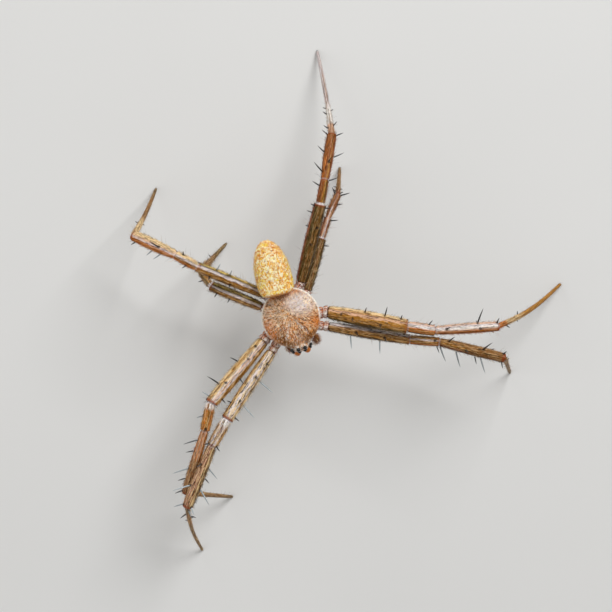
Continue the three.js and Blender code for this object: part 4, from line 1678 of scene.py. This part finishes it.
class SPIDER_OT_coat(bpy.types.Operator):
    """Grow the short hairs of the legs, carapace, abdomen, palps and jaws"""

    bl_idname = "spider.coat"
    bl_label = "Coat"

    def execute(self, context):
        self.form = Strand(3, 3, plain_taper)
        self.length = sizes().hair_length
        self.radius = sizes().hair_radius
        self.cover_legs()
        self.cover_carapace()
        self.cover_abdomen()
        material = hair_material("palp hair", "red_brown", "cream")
        for side in SIDES:
            self.cover_palp_and_jaw(side, material)
        return {"FINISHED"}

    def cover_legs(self):
        for pair, side in LEGS:
            limb = leg_limb(pair, side)
            marks = leg_marks(limb)
            chance = random.Random(SEED + 100 * pair + SIDES[side])
            roots = []
            for _ in range(sizes().leg_hairs):
                distance = chance.uniform(limb.starts[1], limb.length - 0.05)
                turn = chance.uniform(0, math.tau)
                if chance.random() < LONG_HAIRS:
                    length = self.length * chance.uniform(1.6, 2.3)
                    rise = chance.uniform(55, 80)
                    radius = self.radius * 0.7
                else:
                    length = self.length * chance.uniform(0.5, 1.0)
                    rise = chance.uniform(18, 46)
                    radius = self.radius * chance.uniform(0.7, 1.1)
                small = 1 - 0.45 * smooth(limb.share(distance) - 4.8)
                root = limb.root(distance, turn, length * small, radius * small, rise, 0.12, marks, -0.01)
                root.marks["hair_tint"] = (chance.random(), 0, 0)
                if (root.place + root.way * root.length * 1.05).z > FLOOR_ROOM:
                    roots.append(root)
            material = leg_hair_material(f"leg {pair} {side} hair", LEG_TINTS[pair, side])
            grow(f"leg{pair}_{side}_hairs", roots, self.form, material)

    def cover_carapace(self):
        shell = Carapace()
        marks = shell_marks(shell)
        chance = random.Random(SEED)
        roots = []

        def surface(share, turn):
            return shell.surface(share, turn, sizes().groove_depth, sizes().fovea_depth)

        def lie(place):
            outward = place - shell.fovea
            outward.z = 0
            head = smooth((shell.neck + 0.3 - place.y) / 0.7)
            return (outward.normalized() * (1 - head) + Vector((0, -1, -0.4)) * head).normalized()

        def lie_on_side(place):
            outward = place - shell.fovea
            return Vector((outward.x * 0.2, outward.y * 0.2 - 0.4, -1)).normalized()

        def add(out, share, turn, way, lengths, room, radii, rises, clear):
            """Adds a hair between the given lengths, radii and rises, unless it stands on an eye."""
            small = 1 - 0.4 * smooth((shell.face - shell.spot(out, turn).y) / 0.9)
            length = min(self.length * chance.uniform(*lengths), room) * small
            radius = self.radius * chance.uniform(*radii) * small
            unwrap = (0.5 + 0.5 * out * math.cos(turn), 0.5 + 0.5 * out * math.sin(turn))
            rise = chance.uniform(*rises)
            root = surface_root(
                surface, share, turn, way, chance, length, radius, rise, 0.05, unwrap, marks
            )
            if all((root.place - eye).length > eye_radius * clear for eye, eye_radius in shell.eyes):
                roots.append(root)

        while len(roots) < sizes().shell_hairs:
            out = math.sqrt(chance.uniform(0.004, 0.88))
            turn = chance.uniform(-math.pi, math.pi)
            spot = shell.spot(out, turn)
            # Fewer hairs on the left rear, under the painted highlight
            if chance.random() < 0.85 * bump(spot.x - 0.62, 0.75) * bump(spot.y - 0.42, 0.6):
                continue
            share = shell.TOP * (1 - (1 - out) ** (1 / shell.FALL))
            room = 0.06 + shell.reach(turn) * max(0.96 - out, 0)
            add(out, share, turn, lie, (0.4, 0.95), room, (0.9, 1.6), (8, 24), 1.5)
        for _ in range(sizes().shell_hairs // 4):
            steep = chance.uniform(0.78, 0.975)
            turn = chance.uniform(-math.pi, math.pi)
            share = shell.TOP * steep
            add(shell.out(steep), share, turn, lie_on_side, (0.3, 0.6), 1, (0.8, 1.3), (6, 16), 1.4)
        grow("carapace_hairs", roots, self.form, shell_hair_material(), TRUNK)

    def scatter(self, chance, number, shares, surface, way, lengths, girth, rises, curl, marks):
        """Hairs spread over a skin that all lie one way. shares() draws their places along it."""
        roots = []
        for _ in range(number):
            share = shares()
            turn = chance.uniform(-math.pi, math.pi)
            length = self.length * chance.uniform(*lengths)
            roots.append(surface_root(
                surface, share, turn, lambda place: way, chance, length, self.radius * girth,
                chance.uniform(*rises), curl, (turn / math.tau % 1, share), marks,
            ))
        return roots

    def cover_abdomen(self):
        rear = Abdomen()
        chance = random.Random(SEED + 1)
        roots = self.scatter(
            chance, sizes().belly_hairs, lambda: math.acos(-chance.uniform(-0.9, 0.97)) / math.pi,
            rear.surface, Vector((0, 1, 0)), (0.35, 0.75), 0.75, (15, 45), 0.12, abdomen_marks(rear),
        )
        grow("abdomen_hairs", roots, self.form, rear_hair_material(), REAR)

    def cover_palp_and_jaw(self, side, material):
        chance = random.Random(SEED + 5 + SIDES[side])
        limb = palp_limb(side)
        roots = []
        for _ in range(sizes().palp_hairs):
            distance = limb.length * chance.uniform(0.1, 0.99) ** 0.7
            turn = chance.uniform(0, math.tau)
            length = self.length * chance.uniform(0.6, 1.25)
            root = limb.root(distance, turn, length, self.radius, chance.uniform(25, 60), 0.15, {})
            root.marks["hair_tint"] = (chance.random() ** 2, 0, 0)
            roots.append(root)
        grow(f"palp_{side}_hairs", roots, self.form, material, TRUNK)
        surface, way, _, _ = jaw_surface(side)
        roots = self.scatter(
            chance, sizes().palp_hairs // 3, lambda: chance.uniform(0.3, 0.93),
            surface, way, (0.4, 0.9), 0.8, (25, 55), 0.15, {},
        )
        grow(f"chelicera_{side}_hairs", roots, self.form, material)


# -------- stage


HIPS_DEPTH = 0.66  # how far the hips lie behind the carapace's middle, seen from the camera, in millimetres
LIGHT_DISTANCE = 0.32  # of the lights from the aim, in metres
FLOOR_RADIUS = 1.5  # in metres


class SpiderStage(bpy.types.PropertyGroup):
    """Camera and lights. Lengths are in millimetres"""

    distance: size("Distance", "From the camera to the carapace", 299.3)
    frame_width: size("Frame width", "What the camera sees across at the hips' height", 40.8)
    aim_left: size("Aim left", "From the carapace's middle to the aim, to the spider's left", 1.194)
    aim_back: size("Aim back", "From the carapace's middle to the aim, towards the rear", 0.584)
    roll: FloatProperty(
        name="Roll", description="Turn of the frame about the view", default=math.radians(19), subtype="ANGLE"
    )
    key_power: size("Key light", "Power of the key light in watts", 0.72)
    fill_power: size("Fill light", "Power of the fill light in watts", 0.2)
    sky: size("Sky", "Strength of the light from all round", 0.34)


class SPIDER_OT_stage(bpy.types.Operator):
    """Set the floor, the camera and the lights"""

    bl_idname = "spider.stage"
    bl_label = "Stage"

    def execute(self, context):
        stage = context.scene.spider_stage
        self.lay_floor()
        middle = box("carapace", TRUNK)[0] + Vector((stage.aim_left, stage.aim_back, 0))
        right = Vector((math.cos(stage.roll), -math.sin(stage.roll), 0))
        up = Vector((math.sin(stage.roll), math.cos(stage.roll), 0))
        towards = Vector((0, 0, 1))
        axes = Matrix((right, up, towards)).transposed().to_4x4()

        camera = self.add("camera", bpy.data.cameras.new("camera"))
        camera.matrix_world = TRUNK @ Matrix.Translation((middle + towards * stage.distance) * MM) @ axes
        camera.data.angle = 2 * math.atan(stage.frame_width / 2 / (stage.distance + HIPS_DEPTH))
        camera.data.clip_start = 0.01
        camera.data.clip_end = 10
        context.scene.camera = camera

        lights = (
            ("key", stage.key_power, 0.16, right * 0.55 + up * 0.75 + towards),
            ("fill", stage.fill_power, 0.3, right * -0.9 - up * 0.35 + towards * 0.9),
            ("rim", stage.fill_power * 0.7, 0.12, up * 1.2 - right * 0.7 + towards * 0.45),
        )
        for name, power, width, way in lights:
            light = self.add(name, bpy.data.lights.new(name, "AREA"))
            light.data.energy = power
            light.data.size = width
            out = (TRUNK.to_3x3() @ way).normalized()
            light.location = TRUNK @ (middle * MM) + out * LIGHT_DISTANCE
            light.rotation_euler = out.to_track_quat("Z", "Y").to_euler()

        world = bpy.data.worlds.new("studio")
        world.use_nodes = True
        background = world.node_tree.nodes["Background"]
        background.inputs["Color"].default_value = (1.0, 0.985, 0.96, 1)
        background.inputs["Strength"].default_value = stage.sky
        context.scene.world = world
        context.scene.view_settings.view_transform = "Standard"
        return {"FINISHED"}

    def add(self, name, data):
        made = bpy.data.objects.new(name, data)
        bpy.context.scene.collection.objects.link(made)
        return made

    def lay_floor(self):
        body = bmesh.new()
        bmesh.ops.create_circle(body, cap_ends=True, segments=64, radius=FLOOR_RADIUS)
        mesh = bpy.data.meshes.new("floor")
        body.to_mesh(mesh)
        body.free()
        paint = Paint("floor")
        grain = paint.noise(paint.millimetres(), 0.05, 2)
        grey = paint.mix(grain, (0.74, 0.74, 0.73), (0.78, 0.78, 0.77))
        mesh.materials.append(paint.finish(grey, 0.6 + grain * 0.1))
        self.add("floor", mesh)


OPERATORS = (
    SPIDER_OT_carapace, SPIDER_OT_eyes, SPIDER_OT_underside, SPIDER_OT_jaws, SPIDER_OT_palps,
    SPIDER_OT_abdomen, SPIDER_OT_legs, SPIDER_OT_bristles, SPIDER_OT_coat, SPIDER_OT_stage,
)


class SPIDER_PT_panel(bpy.types.Panel):
    bl_idname = "SPIDER_PT_panel"
    bl_label = "Orb weaver spider"
    bl_space_type = "VIEW_3D"
    bl_region_type = "UI"
    bl_category = "Spider"

    def draw(self, context):
        for group in (context.scene.spider_sizes, context.scene.spider_colours, context.scene.spider_stage):
            box = self.layout.box()
            for name in group.bl_rna.properties.keys():
                if name not in ("rna_type", "name"):
                    box.prop(group, name)
        for operator in OPERATORS:
            self.layout.operator(operator.bl_idname)


GROUPS = {"spider_sizes": SpiderSizes, "spider_colours": SpiderColours, "spider_stage": SpiderStage}


def register():
    for kind in (*GROUPS.values(), *OPERATORS, SPIDER_PT_panel):
        bpy.utils.register_class(kind)
    for name, kind in GROUPS.items():
        setattr(bpy.types.Scene, name, PointerProperty(type=kind))


def unregister():
    for name in GROUPS:
        delattr(bpy.types.Scene, name)
    for kind in (SPIDER_PT_panel, *reversed(OPERATORS), *reversed(GROUPS.values())):
        bpy.utils.unregister_class(kind)


def main():
    register()
    for operator in OPERATORS:
        group, name = operator.bl_idname.split(".")
        getattr(getattr(bpy.ops, group), name)()


if __name__ == "__main__":
    main()
